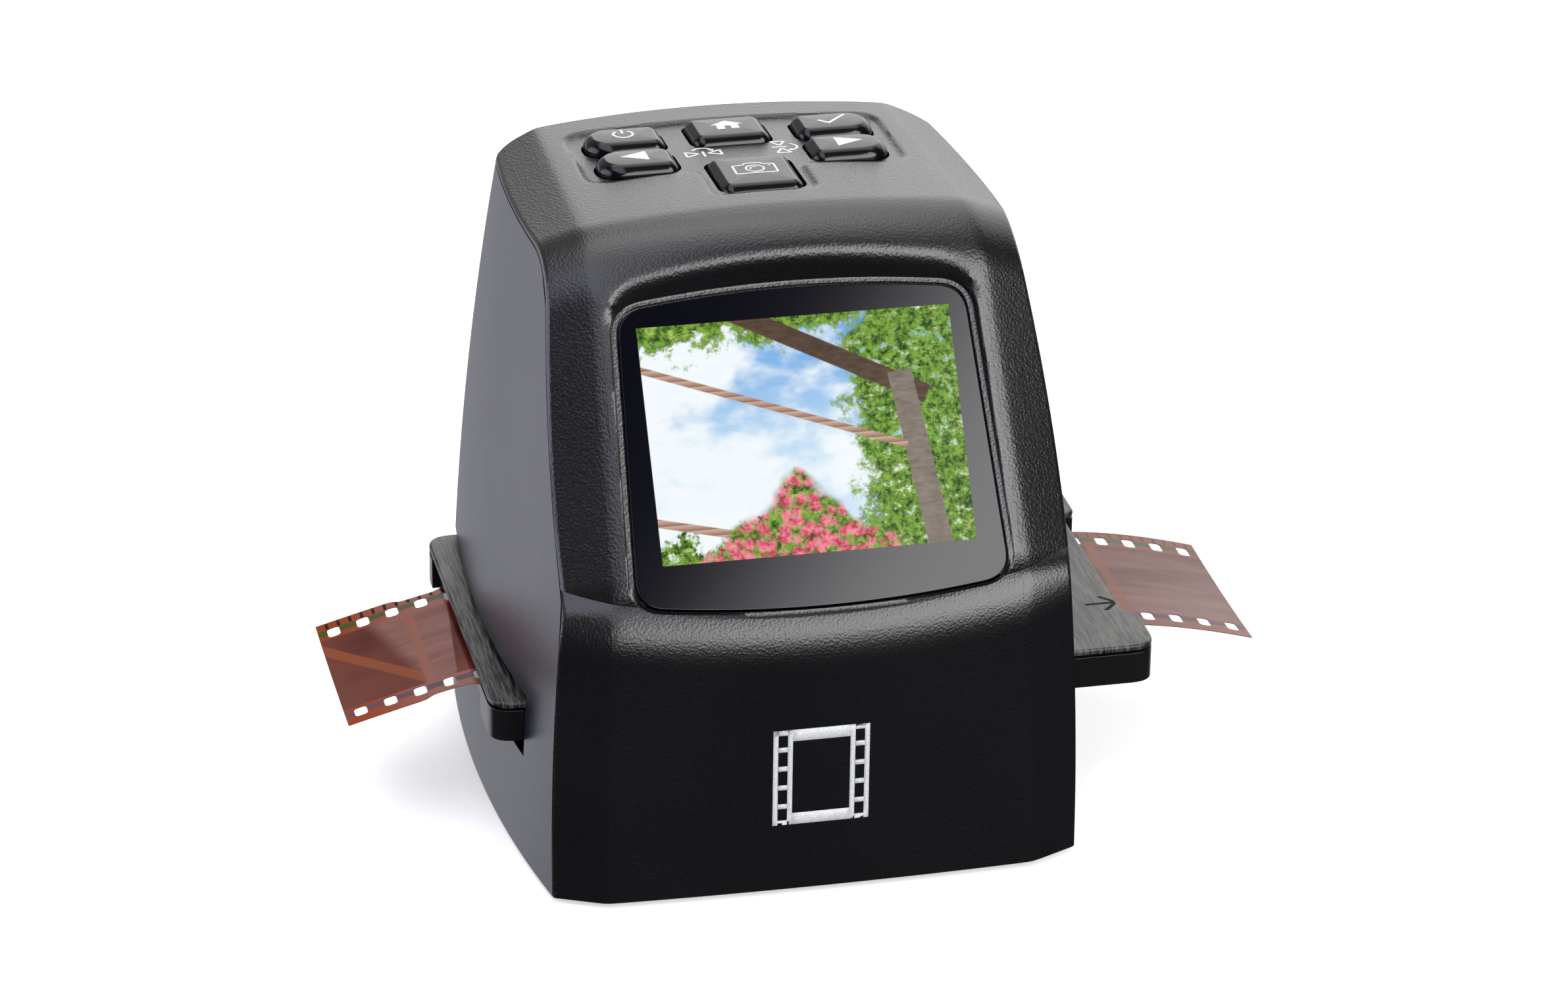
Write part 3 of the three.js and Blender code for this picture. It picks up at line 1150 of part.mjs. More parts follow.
// Main board, its sockets and its chip
const mainBoardSpan = [behind(MAIN_BOARD_FRONT), behind(MAIN_BOARD_REAR)];
add('main_board', board(MAIN_BOARD_HALF, ...mainBoardSpan, mainBoardLow, mainScrews), GREEN);
mainScrews.forEach(([x, y], index) => {
  const seat = mainBoardLow + BOARD_THICK + GAP;
  add(`main_board_screw_${index + 1}`, screw(x, y, seat, BOARD_THICK + LUG_HEIGHT, -1), STEEL);
});
add('card_socket', cardSocket(), STEEL);
add('usb_socket', usbSocket(), STEEL);
const chipY = behind(MAIN_BOARD_FRONT) + CHIP_SIDE / 2 + GAP;
add('processor_chip', box(CHIP_SIDE, CHIP_SIDE, CHIP_HEIGHT, 0, chipY, cardLow), GRAINED_BLACK);

// Camera and light
add('light_tunnel', lightTunnel(), GRAINED_BLACK);
['left', 'right'].forEach((side, index) => {
  const x = (2 * index - 1) * tunnelScrewX;
  const solid = screw(x, trayMiddle, flangeTop + GAP, FLANGE_THICK + GAP + GUIDE_TOP_THICK, -1);
  add(`tunnel_screw_${side}`, solid, STEEL);
});
add('lens_holder', lensHolder(), GRAINED_BLACK);
add('lens_barrel', lensBarrel(), DARK_METAL);
add('lens_glass', lensGlass(), CLEAR);
const sensorHalf = SENSOR_BOARD_SIDE / 2;
const sensorSpan = [trayMiddle - sensorHalf, trayMiddle + sensorHalf];
add('sensor_board', board(sensorHalf, ...sensorSpan, holderTop + GAP, []), GREEN);
const sensorLow = holderTop - SENSOR_THICK;
add('image_sensor', box(SENSOR_SIDE, SENSOR_SIDE, SENSOR_THICK, 0, trayMiddle, sensorLow), SMOOTH_BLACK);
add('light_box', lightBox(), WHITE);
add('led_board', ledBoard(), WHITE);
add('diffuser_plate', diffuserPlate(), WHITE);
add('tray_guide_lower', guideLower(), GRAINED_BLACK);
add('tray_guide_upper', guideUpper(), GRAINED_BLACK);

// Film tray and film
add('tray_base', trayBase(), GRAINED_BLACK);
add('tray_cover', trayCover(), DARK_GREY);
['left', 'right'].forEach((side, index) => {
  const length = HINGE_LUG_LENGTH + 2 * HINGE_PIN_BITE;
  const solid = pinAlongX(HINGE_PIN_RADIUS, length, hingeMiddles[index], hingeY, hingeZ);
  add(`tray_hinge_pin_${side}`, solid, STEEL);
});
add('film_strip', filmStrip(), FILM);

export default group;
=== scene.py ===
import math

import bmesh
import bpy
import numpy as np
from mathutils import Matrix, Vector


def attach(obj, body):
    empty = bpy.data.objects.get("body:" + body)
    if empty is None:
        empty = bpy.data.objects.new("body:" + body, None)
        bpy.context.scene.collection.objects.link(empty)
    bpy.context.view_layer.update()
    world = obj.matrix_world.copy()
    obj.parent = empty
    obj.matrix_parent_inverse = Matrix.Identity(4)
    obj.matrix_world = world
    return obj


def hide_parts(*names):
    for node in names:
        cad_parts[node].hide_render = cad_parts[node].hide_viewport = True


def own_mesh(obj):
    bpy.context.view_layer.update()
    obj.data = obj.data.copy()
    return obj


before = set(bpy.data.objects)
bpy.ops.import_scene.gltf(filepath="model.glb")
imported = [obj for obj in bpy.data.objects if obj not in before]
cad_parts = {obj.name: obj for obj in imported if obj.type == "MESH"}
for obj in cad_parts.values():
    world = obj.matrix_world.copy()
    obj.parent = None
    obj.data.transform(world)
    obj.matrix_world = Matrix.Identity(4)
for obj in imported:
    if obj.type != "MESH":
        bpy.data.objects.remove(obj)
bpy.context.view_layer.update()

MM = 0.001

# Housing sizes in millimetres, with setbacks measured back from the foot of the front
DEPTH = 85
HALF_WIDTH = 46.1
SIDE_BOW_RADIUS = 245
WIDEST_SHARE = 0.59
TAPER_SHARE, TAPER_HEIGHT = 0.19, 93
REAR_BOW, REAR_SWELL, REAR_ROUND = 4, 1.5, 5
FOOT, KNEE, BROW = (0, 0), (1.9, 51.5), (30.8, 97.3)
KNEE_ROUND, BROW_ROUND = 10, 15
TOP_FALL = 0.0425
PROFILE_END, PROFILE_SAMPLES = 91, 2000
FACE_HALF_FOOT, FACE_HALF_REAR = 34, 28.7
BOWS = (0.8, 3, 2.4, 1.2)
CHAMFER_SLOPE = 0.47
EDGE_SOFTNESS = 0.3
PARTING_DEPTH, PARTING_GAP = 4, 0.3
SKIN = 1.8
FAN_LINE = np.array([97.0, -12.0])

# Window, with x across, y up the tilted face and lift out of it
WINDOW_SETBACK, WINDOW_HEIGHT = 4, 55.1
WINDOW_TILT = math.radians(34.2)
GLASS_LOW_HALF, GLASS_TOP_HALF = 29.3, 27.4
GLASS_LOW, GLASS_TOP = 6.2, 39.5
GLASS_LOW_ARCH, GLASS_TOP_ARCH = 2.2, 2.0
GLASS_ROUND, GLASS_PLAY, GLASS_THICK = 4, 0.25, 1
POCKET, LEDGE = 1.3, 1.2
RIM = 0.8
LIP_CORNER, LIP_ARCH, LIP_REACH, LIP_ROLL = 49.97, 1.82, 10, 3.6
RIM_SIDE, RIM_TOP, RIM_LOW = 0.3, 0.9, 0.8
RIM_SOFT_SIDE, RIM_SOFT_TOP, RIM_SOFT_LOW = 0.5, 2.2, 0.6
PICTURE_WIDTH, PICTURE_HEIGHT = 48.96, 36.72

# Key panel and keys: middle, setback, width, depth, left round, right round
PANEL_HALF, PANEL_REAR, PANEL_STEP, PANEL_FRONT, TONGUE_HALF = 25.55, 79.5, 55.55, 43.3, 8.2
PANEL_DEPTH, PANEL_ROUND, PANEL_STEPS, PANEL_SOFTNESS, PANEL_MARGIN = 0.6, 4, 6, 1.1, 3
KEY_RISE, KEY_PLAY, KEY_CROWN, KEY_SKIRT = 2.45, 0.35, 0.2, 2.6
KEY_SLOPE_WIDTH, KEY_SLOPE_START, KEY_SLOPE_END = 1.4, math.radians(17), math.radians(80)
KEYS = {
    "power": (-17, 72, 12.7, 8.9, 4, 2),
    "back": (-17, 61.5, 12.7, 8.9, 4, 2),
    "confirm": (17, 72, 12.7, 8.9, 2, 4),
    "forward": (17, 61.5, 12.7, 8.9, 2, 4),
    "home": (0, 72.8, 12.8, 10.4, 2, 2),
    "capture": (0, 52, 13.4, 14.4, 2, 2),
}

# Slot, tray and film
SLOT_LOW, SLOT_HIGH, SLOT_FRONT, SLOT_REAR = 17.6, 28, 17.7, 82.2
TRAY_LEFT, TRAY_RIGHT, TRAY_HALF, TRAY_MIDDLE = 48.5, 58.5, 30.7, 6.7
TRAY_BOTTOM, TRAY_SPLIT, TRAY_TOP = 20, 25.2, 26.6
CHANNEL_HALF, MOUTH_SET_IN, NOTCH_DEPTH, NOTCH_RUN = 17.8, 1.2, 2.4, 1.6
BED_HEIGHT = 23.2
GATE_LENGTH, GATE_WIDTH = 37, 25
FILM_LEFT, FILM_RIGHT, FILM_WIDTH, FILM_HEIGHT, FILM_THICK = 68.9, 78.6, 35, 23.5, 0.15
DROOP_LEFT, DROOP_RIGHT, DROOP_LEFT_POWER, DROOP_RIGHT_POWER = 5.2, 4.5, 1.1, 1.5
PERFORATION_PITCH, PERFORATION_LENGTH, PERFORATION_WIDTH, PERFORATION_EDGE = 4.75, 1.98, 2.8, 2


# Camera at the photograph's place

CAMERA_TURN, CAMERA_LIFT, CAMERA_ROLL = -13.02, 25.32, 0.72
CAMERA_AIM = Vector((0, -69.3, 50))
CAMERA_FAR, CAMERA_RIGHT, CAMERA_UP = 849.0, -12.29, 26.52
CAMERA_LENS, CAMERA_SENSOR = 132.05, 36


def place_camera():
    turn, lift, roll = (math.radians(angle) for angle in (CAMERA_TURN, CAMERA_LIFT, CAMERA_ROLL))
    back = Vector((math.sin(turn) * math.cos(lift), -math.cos(turn) * math.cos(lift), math.sin(lift)))
    level = Vector((math.cos(turn), math.sin(turn), 0))
    above = back.cross(level)
    right = math.cos(roll) * level + math.sin(roll) * above
    up = -math.sin(roll) * level + math.cos(roll) * above
    data = bpy.data.cameras.new("camera")
    data.sensor_fit = "HORIZONTAL"
    data.sensor_width = CAMERA_SENSOR
    data.lens = CAMERA_LENS
    data.clip_start, data.clip_end = 0.05, 20
    camera = bpy.data.objects.new("camera", data)
    bpy.context.scene.collection.objects.link(camera)
    place = CAMERA_AIM + back * CAMERA_FAR + right * CAMERA_RIGHT + up * CAMERA_UP
    rows = [[right[i], up[i], back[i], place[i] * MM] for i in range(3)]
    camera.matrix_world = Matrix([*rows, [0, 0, 0, 1]])
    bpy.context.scene.camera = camera


# Curves and surfaces in numbers

def mix(a, b, share):
    return a + (b - a) * share


def ramp(share):
    held = np.clip(share, 0, 1)
    return held * held * (3 - 2 * held)


def soft_most(a, b, width):
    return 0.5 * (a + b + np.sqrt((a - b) ** 2 + width * width))


def soft_least(a, b, width):
    near = np.maximum(width - np.abs(a - b), 0)
    return np.minimum(a, b) - near * near / (4 * width)


def top_line(setback):
    return BROW[1] - TOP_FALL * (setback - BROW[0])


def side_half(setback, height):
    bow = (setback - WIDEST_SHARE * DEPTH) ** 2 / (2 * SIDE_BOW_RADIUS)
    return (HALF_WIDTH - bow) * (1 - TAPER_SHARE * (height / TAPER_HEIGHT) ** 2)


def rear_at(x):
    return DEPTH + REAR_SWELL - REAR_BOW * (x / HALF_WIDTH) ** 2


def corner_start(z):
    """Setback and x of the middle that a rear corner turns about"""
    x = side_half(DEPTH, z) - REAR_ROUND
    y = rear_at(x) - REAR_ROUND
    return y, side_half(y, z) - REAR_ROUND


def rear_limit(x, z, inset=0.0):
    """Setback of the back wall with its round corners"""
    start, centre = corner_start(z)
    past = np.maximum(np.abs(x) - centre, 0)
    corner = start + np.sqrt(np.maximum((REAR_ROUND - inset) ** 2 - past ** 2, 0))
    return np.where(past > 0, np.minimum(corner, rear_at(x) - inset), rear_at(x) - inset)


class Profile:
    """Front, tilted face and top seen from the side, as a function of the run along them"""

    def __init__(self):
        end = (PROFILE_END, top_line(PROFILE_END))
        points = [np.array(point, float) for point in (FOOT, KNEE, BROW, end)]
        self.pieces, middles = [], []
        run, start = 0.0, points[0]
        for index, radius in ((1, KNEE_ROUND), (2, BROW_ROUND)):
            corner = points[index]
            back = points[index - 1] - corner
            on = points[index + 1] - corner
            back, on = back / np.linalg.norm(back), on / np.linalg.norm(on)
            half = math.acos(float(back @ on)) / 2
            reach = radius / math.tan(half)
            bisector = (back + on) / np.linalg.norm(back + on)
            centre = corner + bisector * radius / math.sin(half)
            touch = corner + back * reach
            length = np.linalg.norm(touch - start)
            self.pieces.append(("line", run, length, start, (touch - start) / length))
            run += length
            arm = touch - centre
            sweep = math.pi - 2 * half
            self.pieces.append(("arc", run, radius * sweep, centre, arm))
            middles.append(run + radius * sweep / 2)
            run += radius * sweep
            start = corner + on * reach
        self.knee_run, self.brow_run = middles
        length = np.linalg.norm(points[3] - start)
        self.pieces.append(("line", run, length, start, (points[3] - start) / length))
        self.total = run + length

    def point(self, run):
        run = np.asarray(run, float)
        out = np.zeros(run.shape + (2,))
        for number, (kind, begin, length, origin, way) in enumerate(self.pieces):
            last = number == len(self.pieces) - 1
            here = (run >= begin if number else run >= -np.inf) & ((run < begin + length) | last)
            along = (run - begin)[..., None]
            if kind == "line":
                value = origin + along * way
            else:
                turn = -along[..., 0] / np.linalg.norm(way)
                cos, sin = np.cos(turn), np.sin(turn)
                value = origin + np.stack([cos * way[0] - sin * way[1], sin * way[0] + cos * way[1]], -1)
            out = np.where(here[..., None], value, out)
        return out

    def half(self, run):
        return mix(FACE_HALF_FOOT, FACE_HALF_REAR, run / self.total)

    def bow(self, run):
        knots = (0, self.knee_run, self.brow_run, self.total)
        out = np.full(np.shape(run), float(BOWS[0]))
        for index in range(3):
            share = (run - knots[index]) / (knots[index + 1] - knots[index])
            out = np.where(share > 0, mix(BOWS[index], BOWS[index + 1], ramp(share)), out)
        return out

    def at_depth(self, run, depth):
        point = self.point(run)
        away = point - FAN_LINE
        away = away / np.linalg.norm(away, axis=-1, keepdims=True)
        return point - away * np.asarray(depth)[..., None]

    def run_at_setback(self, setback):
        runs = np.linspace(self.knee_run, self.total, PROFILE_SAMPLES)
        return float(np.interp(setback, self.point(runs)[:, 0], runs))


profile = Profile()


def outline_distance(x, y, outline):
    """Distance to a closed outline, less than 0 inside it"""
    a = np.asarray(outline, float)
    b = np.roll(a, -1, axis=0)
    x, y = np.asarray(x, float), np.asarray(y, float)
    nearest = np.full(x.shape, np.inf)
    inside = np.zeros(x.shape, bool)
    for (ax, ay), (bx, by) in zip(a, b):
        dx, dy = bx - ax, by - ay
        share = np.clip(((x - ax) * dx + (y - ay) * dy) / (dx * dx + dy * dy + 1e-12), 0, 1)
        nearest = np.minimum(nearest, np.hypot(x - ax - share * dx, y - ay - share * dy))
        crossing = (ay > y) != (by > y)
        inside ^= crossing & (x < ax + (y - ay) / (by - ay + 1e-12) * dx)
    return np.where(inside, -nearest, nearest)


def softened(corners, steps):
    """Outline whose corners are short curves; each corner has its own reach"""
    out = []
    for index, (x, y, reach) in enumerate(corners):
        corner = np.array([x, y], float)
        if not reach:
            out.append(corner)
            continue
        ends = []
        for other in (corners[index - 1], corners[(index + 1) % len(corners)]):
            way = np.array(other[:2], float) - corner
            ends.append(corner + way / np.linalg.norm(way) * min(reach, np.linalg.norm(way)))
        for step in range(steps + 1):
            share = step / steps
            out.append((1 - share) ** 2 * ends[0] + 2 * share * (1 - share) * corner + share ** 2 * ends[1])
    return np.array(out)


def panel_outline():
    right = [
        (TONGUE_HALF, PANEL_FRONT, PANEL_ROUND / 2), (TONGUE_HALF, PANEL_STEP, PANEL_ROUND / 2),
        (PANEL_HALF, PANEL_STEP, PANEL_ROUND), (PANEL_HALF, PANEL_REAR, PANEL_ROUND),
    ]
    left = [(-x, y, reach) for x, y, reach in reversed(right)]
    return softened(right + left, PANEL_STEPS)


PANEL_OUTLINE = panel_outline()


def skin_point(x, run, sunk=True):
    """Point of the outer skin at a place across and along the profile"""
    half = profile.half(run)
    face = -profile.bow(run) * (1 - (x / half) ** 2)
    chamfer = CHAMFER_SLOPE * (np.abs(x) - half)
    depth = soft_most(face, chamfer, EDGE_SOFTNESS) - EDGE_SOFTNESS / 4
    point = profile.at_depth(run, depth)
    if sunk:
        distance = outline_distance(x, point[..., 0], PANEL_OUTLINE)
        on_top = point[..., 0] > PANEL_FRONT - PANEL_MARGIN
        drop = PANEL_DEPTH * (1 - ramp(distance / PANEL_SOFTNESS + 0.5)) * on_top
        point = profile.at_depth(run, depth + drop)
    return np.stack([x + 0 * point[..., 0], point[..., 0], point[..., 1]], -1)


SIDE_GUESS, SIDE_ROUNDS = 40.0, 8


def side_x(run):
    """Where the chamfer meets the side, found in a few rounds"""
    x = np.full(np.shape(run), SIDE_GUESS)
    for _ in range(SIDE_ROUNDS):
        point = profile.at_depth(run, CHAMFER_SLOPE * (x - profile.half(run)))
        x = side_half(point[..., 0], point[..., 1])
    return x


# Meshes

class Sheet:
    """Points in millimetres, as x, setback and height, with faces between them"""

    def __init__(self):
        self.points, self.faces = [], []

    def add(self, points):
        flat = np.asarray(points, float)
        start = len(self.points)
        self.points.extend(flat.reshape(-1, 3).tolist())
        return np.arange(start, start + flat.size // 3).reshape(flat.shape[:-1])

    def quads(self, index, skip=None):
        for i in range(index.shape[0] - 1):
            for j in range(index.shape[1] - 1):
                if skip is not None and skip(i, j):
                    continue
                self.faces.append([index[i, j], index[i, j + 1], index[i + 1, j + 1], index[i + 1, j]])

    def rings(self, loops, close_first=False, close_last=False):
        index = [self.add(loop) if not np.issubdtype(np.asarray(loop).dtype, np.integer) else loop
                 for loop in loops]
        for low, high in zip(index, index[1:]):
            count = len(low)
            for k in range(count):
                n = (k + 1) % count
                self.faces.append([low[k], low[n], high[n], high[k]])
        if close_first:
            self.faces.append(list(index[0])[::-1])
        if close_last:
            self.faces.append(list(index[-1]))
        return index

    def make(self, name, flat=False, merge=0.0005):
        mesh = bpy.data.meshes.new(name)
        points = np.array(self.points, float)
        points[:, 1] -= DEPTH / 2
        mesh.from_pydata((points * MM).tolist(), [], [[int(i) for i in face] for face in self.faces])
        body = bmesh.new()
        body.from_mesh(mesh)
        bmesh.ops.remove_doubles(body, verts=body.verts, dist=merge * MM)
        bmesh.ops.recalc_face_normals(body, faces=body.faces)
        body.to_mesh(mesh)
        body.free()
        obj = bpy.data.objects.new(name, mesh)
        bpy.context.scene.collection.objects.link(obj)
        if flat:
            mesh.shade_flat()
        else:
            mesh.shade_smooth()
        return obj


def settle(obj):
    """The piece's modifiers become part of its mesh"""
    bpy.context.view_layer.update()
    seen = obj.evaluated_get(bpy.context.evaluated_depsgraph_get())
    mesh = bpy.data.meshes.new_from_object(seen)
    old = obj.data
    obj.modifiers.clear()
    obj.data = mesh
    mesh.name = obj.name
    bpy.data.meshes.remove(old)
    return obj


def thicken(obj, thickness):
    solid = obj.modifiers.new("thickness", "SOLIDIFY")
    solid.thickness = thickness * MM
    solid.offset = -1
    return settle(obj)


def cut(obj, cutters):
    """Each cutter is taken out of the piece, and then out of the scene"""
    for cutter in cutters:
        change = obj.modifiers.new("cut", "BOOLEAN")
        change.operation = "DIFFERENCE"
        change.solver = "EXACT"
        change.object = cutter
        settle(obj)
        bpy.data.objects.remove(cutter)
    return obj


def bevel(obj, width, segments, angle):
    edge = obj.modifiers.new("bevel", "BEVEL")
    edge.width = width * MM
    edge.segments = segments
    edge.limit_method = "ANGLE"
    edge.angle_limit = math.radians(angle)
    edge.harden_normals = False
    return settle(obj)


def crisp(obj, angle):
    """Smooth shading with sharp edges over an angle"""
    obj.data.shade_smooth()
    obj.data.set_sharp_from_angle(angle=math.radians(angle))
    weigh = obj.modifiers.new("normals", "WEIGHTED_NORMAL")
    weigh.keep_sharp = True
    return obj


def finish_piece(obj, body, look, replaces=()):
    """The piece gets its look, the body it rides on and the nodes it stands for"""
    obj.data.materials.clear()
    obj.data.materials.append(look)
    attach(obj, body)
    if replaces:
        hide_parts(*replaces)
    return obj


def prism(name, outline, low, high):
    """Upright solid on a flat outline"""
    sheet = Sheet()
    rings = [[(x, y, z) for x, y in outline] for z in (low, high)]
    sheet.rings(rings, close_first=True, close_last=True)
    return sheet.make(name, flat=True)


CORNER_STEPS = 7


def rounded_loop(width, depth, left, right, side_steps=5):
    """Rounded rectangle about the origin with points along its sides"""
    corners = [(1, 1, right), (-1, 1, left), (-1, -1, left), (1, -1, right)]
    out = []
    for index, (sx, sy, radius) in enumerate(corners):
        centre = (sx * (width / 2 - radius), sy * (depth / 2 - radius))
        for step in range(CORNER_STEPS + 1):
            angle = (index + step / CORNER_STEPS) * math.pi / 2
            out.append((centre[0] + radius * math.cos(angle), centre[1] + radius * math.sin(angle)))
        nx, ny, near = corners[(index + 1) % 4]
        centre = (nx * (width / 2 - near), ny * (depth / 2 - near))
        angle = (index + 1) * math.pi / 2
        goal = (centre[0] + near * math.cos(angle), centre[1] + near * math.sin(angle))
        start = out[-1]
        for step in range(1, side_steps):
            share = step / side_steps
            out.append((mix(start[0], goal[0], share), mix(start[1], goal[1], share)))
    return np.array(out)


# Shader maths

def maths(operation, reflected=False):
    """An operator on values of a material"""
    def work(self, *others):
        values = (*others, self) if reflected else (self, *others)
        return self.look.node("ShaderNodeMath", {"operation": operation}, *values)
    return work


class Wire:
    """A value in a material that Python's operators work on"""

    def __init__(self, look, socket):
        self.look, self.socket = look, socket

    __add__, __radd__ = maths("ADD"), maths("ADD", True)
    __sub__, __rsub__ = maths("SUBTRACT"), maths("SUBTRACT", True)
    __mul__, __rmul__ = maths("MULTIPLY"), maths("MULTIPLY", True)
    __truediv__ = maths("DIVIDE")
    __abs__ = maths("ABSOLUTE")
    most, least = maths("MAXIMUM"), maths("MINIMUM")
    sine, fraction = maths("SINE"), maths("FRACT")

    def __neg__(self):
        return self * -1

    def band(self, low, high):
        """From 0 at low to 1 at high, smoothly"""
        settings = {"interpolation_type": "SMOOTHSTEP", "clamp": True}
        return self.look.node("ShaderNodeMapRange", settings, self, low, high, 0.0, 1.0)


class Look:
    """A material, or the studio's surroundings, and its nodes"""

    def __init__(self, name, owner=None, shader="Principled BSDF", **values):
        self.material = owner or bpy.data.materials.new(name)
        self.material.use_nodes = True
        self.tree = self.material.node_tree
        self.shader = self.tree.nodes[shader]
        self.set(**values)

    def set(self, **values):
        for name, value in values.items():
            self.join(self.shader.inputs[name.replace("_", " ")], value)

    def join(self, socket, value):
        if isinstance(value, Wire):
            self.tree.links.new(value.socket, socket)
        elif isinstance(value, (tuple, list)) and socket.type == "RGBA" and len(value) == 3:
            socket.default_value = (*value, 1)
        else:
            socket.default_value = value

    def node(self, kind, settings, *values, out=0, **named):
        made = self.tree.nodes.new(kind)
        for name, value in settings.items():
            setattr(made, name, value)
        sockets = [socket for socket in made.inputs if socket.enabled]
        for socket, value in zip(sockets, values):
            self.join(socket, value)
        for name, value in named.items():
            self.join(made.inputs[name.replace("_", " ")], value)
        return Wire(self, made.outputs[out])

    def place(self):
        """Place on the object in millimetres"""
        here = self.node("ShaderNodeTexCoord", {}, out="Object")
        return self.node("ShaderNodeVectorMath", {"operation": "SCALE"}, here, Scale=1 / MM)

    def axes(self, place):
        split = self.node("ShaderNodeSeparateXYZ", {}, place)
        made = split.socket.node
        return [Wire(self, made.outputs[i]) for i in range(3)]

    def along(self, place, way):
        """How far a place lies along a direction"""
        return self.node("ShaderNodeVectorMath", {"operation": "DOT_PRODUCT"}, place, way, out="Value")

    def stretched(self, place, scale):
        return self.node("ShaderNodeVectorMath", {"operation": "MULTIPLY"}, place, scale)

    def noise(self, place, scale, detail=2.0, rough=0.5):
        return self.node("ShaderNodeTexNoise", {"noise_dimensions": "3D"},
                         Vector=place, Scale=scale, Detail=detail, Roughness=rough)

    def cells(self, place, scale):
        return self.node("ShaderNodeTexVoronoi", {"feature": "F1"}, Vector=place, Scale=scale)

    def blend(self, share, a, b):
        """Colour between a and b"""
        made = self.tree.nodes.new("ShaderNodeMix")
        made.data_type = "RGBA"
        for name, value in zip(("Factor", "A", "B"), (share, a, b)):
            socket = [s for s in made.inputs if s.name == name and s.enabled][0]
            self.join(socket, value)
        return Wire(self, [s for s in made.outputs if s.enabled][0])

    def bump(self, height, distance, strength=1.0):
        """Normal from a height, whose unit is the distance in millimetres"""
        return self.node("ShaderNodeBump", {}, Height=height, Strength=strength, Distance=distance * MM)


def plastic(name, colour, rough, grain, relief, variation=0.1, gloss=0.5, form=None):
    """Moulded plastic: fine leather-like grain, slow changes of shade and gloss"""
    look = Look(name, IOR=1.5, Specular_IOR_Level=gloss)
    place = look.place()
    broad = look.noise(place, 0.03, 3.0)
    fine = look.noise(place, 1 / grain, 2.0, 0.6)
    pits = look.cells(place, 0.8 / grain)
    light = tuple(min(1, c * (1 + variation)) for c in colour)
    dark = tuple(c * (1 - variation) for c in colour)
    tone = (0.6 * broad + 0.4 * fine).band(0.35, 0.65)
    look.set(Base_Color=look.blend(tone, dark, light))
    look.set(Roughness=rough + 0.08 * (broad - 0.5) + 0.06 * (fine - 0.5))
    height = (fine * 0.6 + pits * 0.5) * relief
    if form:
        height = height + form(look, place)
    look.set(Normal=look.bump(height, 1.0))
    return look.material


def lip_form(look, place):
    """Soft roll of the lip under the window, in millimetres"""
    x, _, z = look.axes(place)
    edge = LIP_CORNER - LIP_ARCH * (1 - x * x / GLASS_LOW_HALF ** 2)
    down = ((edge - z) / LIP_REACH).most(0).least(1)
    return (1 - down) * (1 - down) * -LIP_ROLL


# Front cover: face, chamfers and top in one skin, with the window's recess worked into it

# Columns and rows of the skin's grid, with the part that the window's patch takes
FACE_HOLE_SHARE, FACE_EDGE_SHARE, FACE_COLUMNS = 0.97, 0.985, 113
FACE_START, HOLE_RUN, HOLE_SETBACK = 3, 42, 38
FOOT_RUNS, FACE_ROWS, HOLE_ROWS, TOP_ROWS = (0, 0.4, 1.2), 16, 80, 96
CHAMFER_SHARES = (0.02, 0.05, 0.1, 0.2, 0.35, 0.5, 0.65, 0.8, 0.92)

# Runs that curves are looked up in; a little below the foot, so that each one crosses it
BELOW_FOOT, BELOW_SIDE = -3, -4
COVER_SAMPLES, FOOT_SAMPLES, SIDE_SAMPLES, SEAM_SAMPLES, RISING_SAMPLES = 1400, 300, 900, 2400, 1200
HALVINGS, LOWEST_WINDOW_RUN = 34, 20.0

# Edge where the chamfer meets the side, and both sides of the seam
EDGE_ROUND, EDGE_DROP, EDGE_SET_IN, EDGE_ROOM = 0.35, 0.08, 0.06, 0.6
SEAM_FRONT, SEAM_REAR = PARTING_DEPTH - PARTING_GAP / 2, PARTING_DEPTH + PARTING_GAP / 2

# Window's recess: arches of the glass, growth and lift of the pocket's rings, steps up the rim
ARCH_POINTS, ARCH_REACH, GLASS_STEPS = 33, 0.85, 12
POCKET_SET_IN = 2.0
POCKET_RINGS = ((-POCKET_SET_IN, -POCKET), (0, -POCKET), (0, -0.12), (0.1, 0))
RIM_STEPS, PATCH_STEPS = (0.4, 0.76, 0.84, 0.95, 1.06, 1.18, 1.32), 14
PAD_START, PAD_WIDTH = 2, 0.8

# Cutter of the key holes
KEY_HOLE_SETBACK, KEY_HOLE_DOWN, KEY_HOLE_UP = 60, 8, 6


def seam_line(runs, depth):
    """Setback and height of a seam along the profile"""
    return profile.at_depth(runs, np.full(np.shape(runs), depth))


def window_from(points):
    """x, y up the face and lift, from x, setback and height"""
    back, up = points[..., 1] - WINDOW_SETBACK, points[..., 2] - WINDOW_HEIGHT
    sin, cos = math.sin(WINDOW_TILT), math.cos(WINDOW_TILT)
    return points[..., 0], back * sin + up * cos, up * sin - back * cos


def window_to(x, y, lift):
    sin, cos = math.sin(WINDOW_TILT), math.cos(WINDOW_TILT)
    back, up = y * sin - lift * cos, y * cos + lift * sin
    return np.stack([x + 0 * back, WINDOW_SETBACK + back, WINDOW_HEIGHT + up], -1)


def skin_lift(x, y):
    """How far the outer skin lies over the window's plane"""
    low, high = np.full(x.shape, LOWEST_WINDOW_RUN), np.full(x.shape, profile.total)
    for _ in range(HALVINGS):
        run = (low + high) / 2
        _, here, lift = window_from(skin_point(x, run, sunk=False))
        low, high = np.where(here < y, run, low), np.where(here < y, high, run)
    return lift


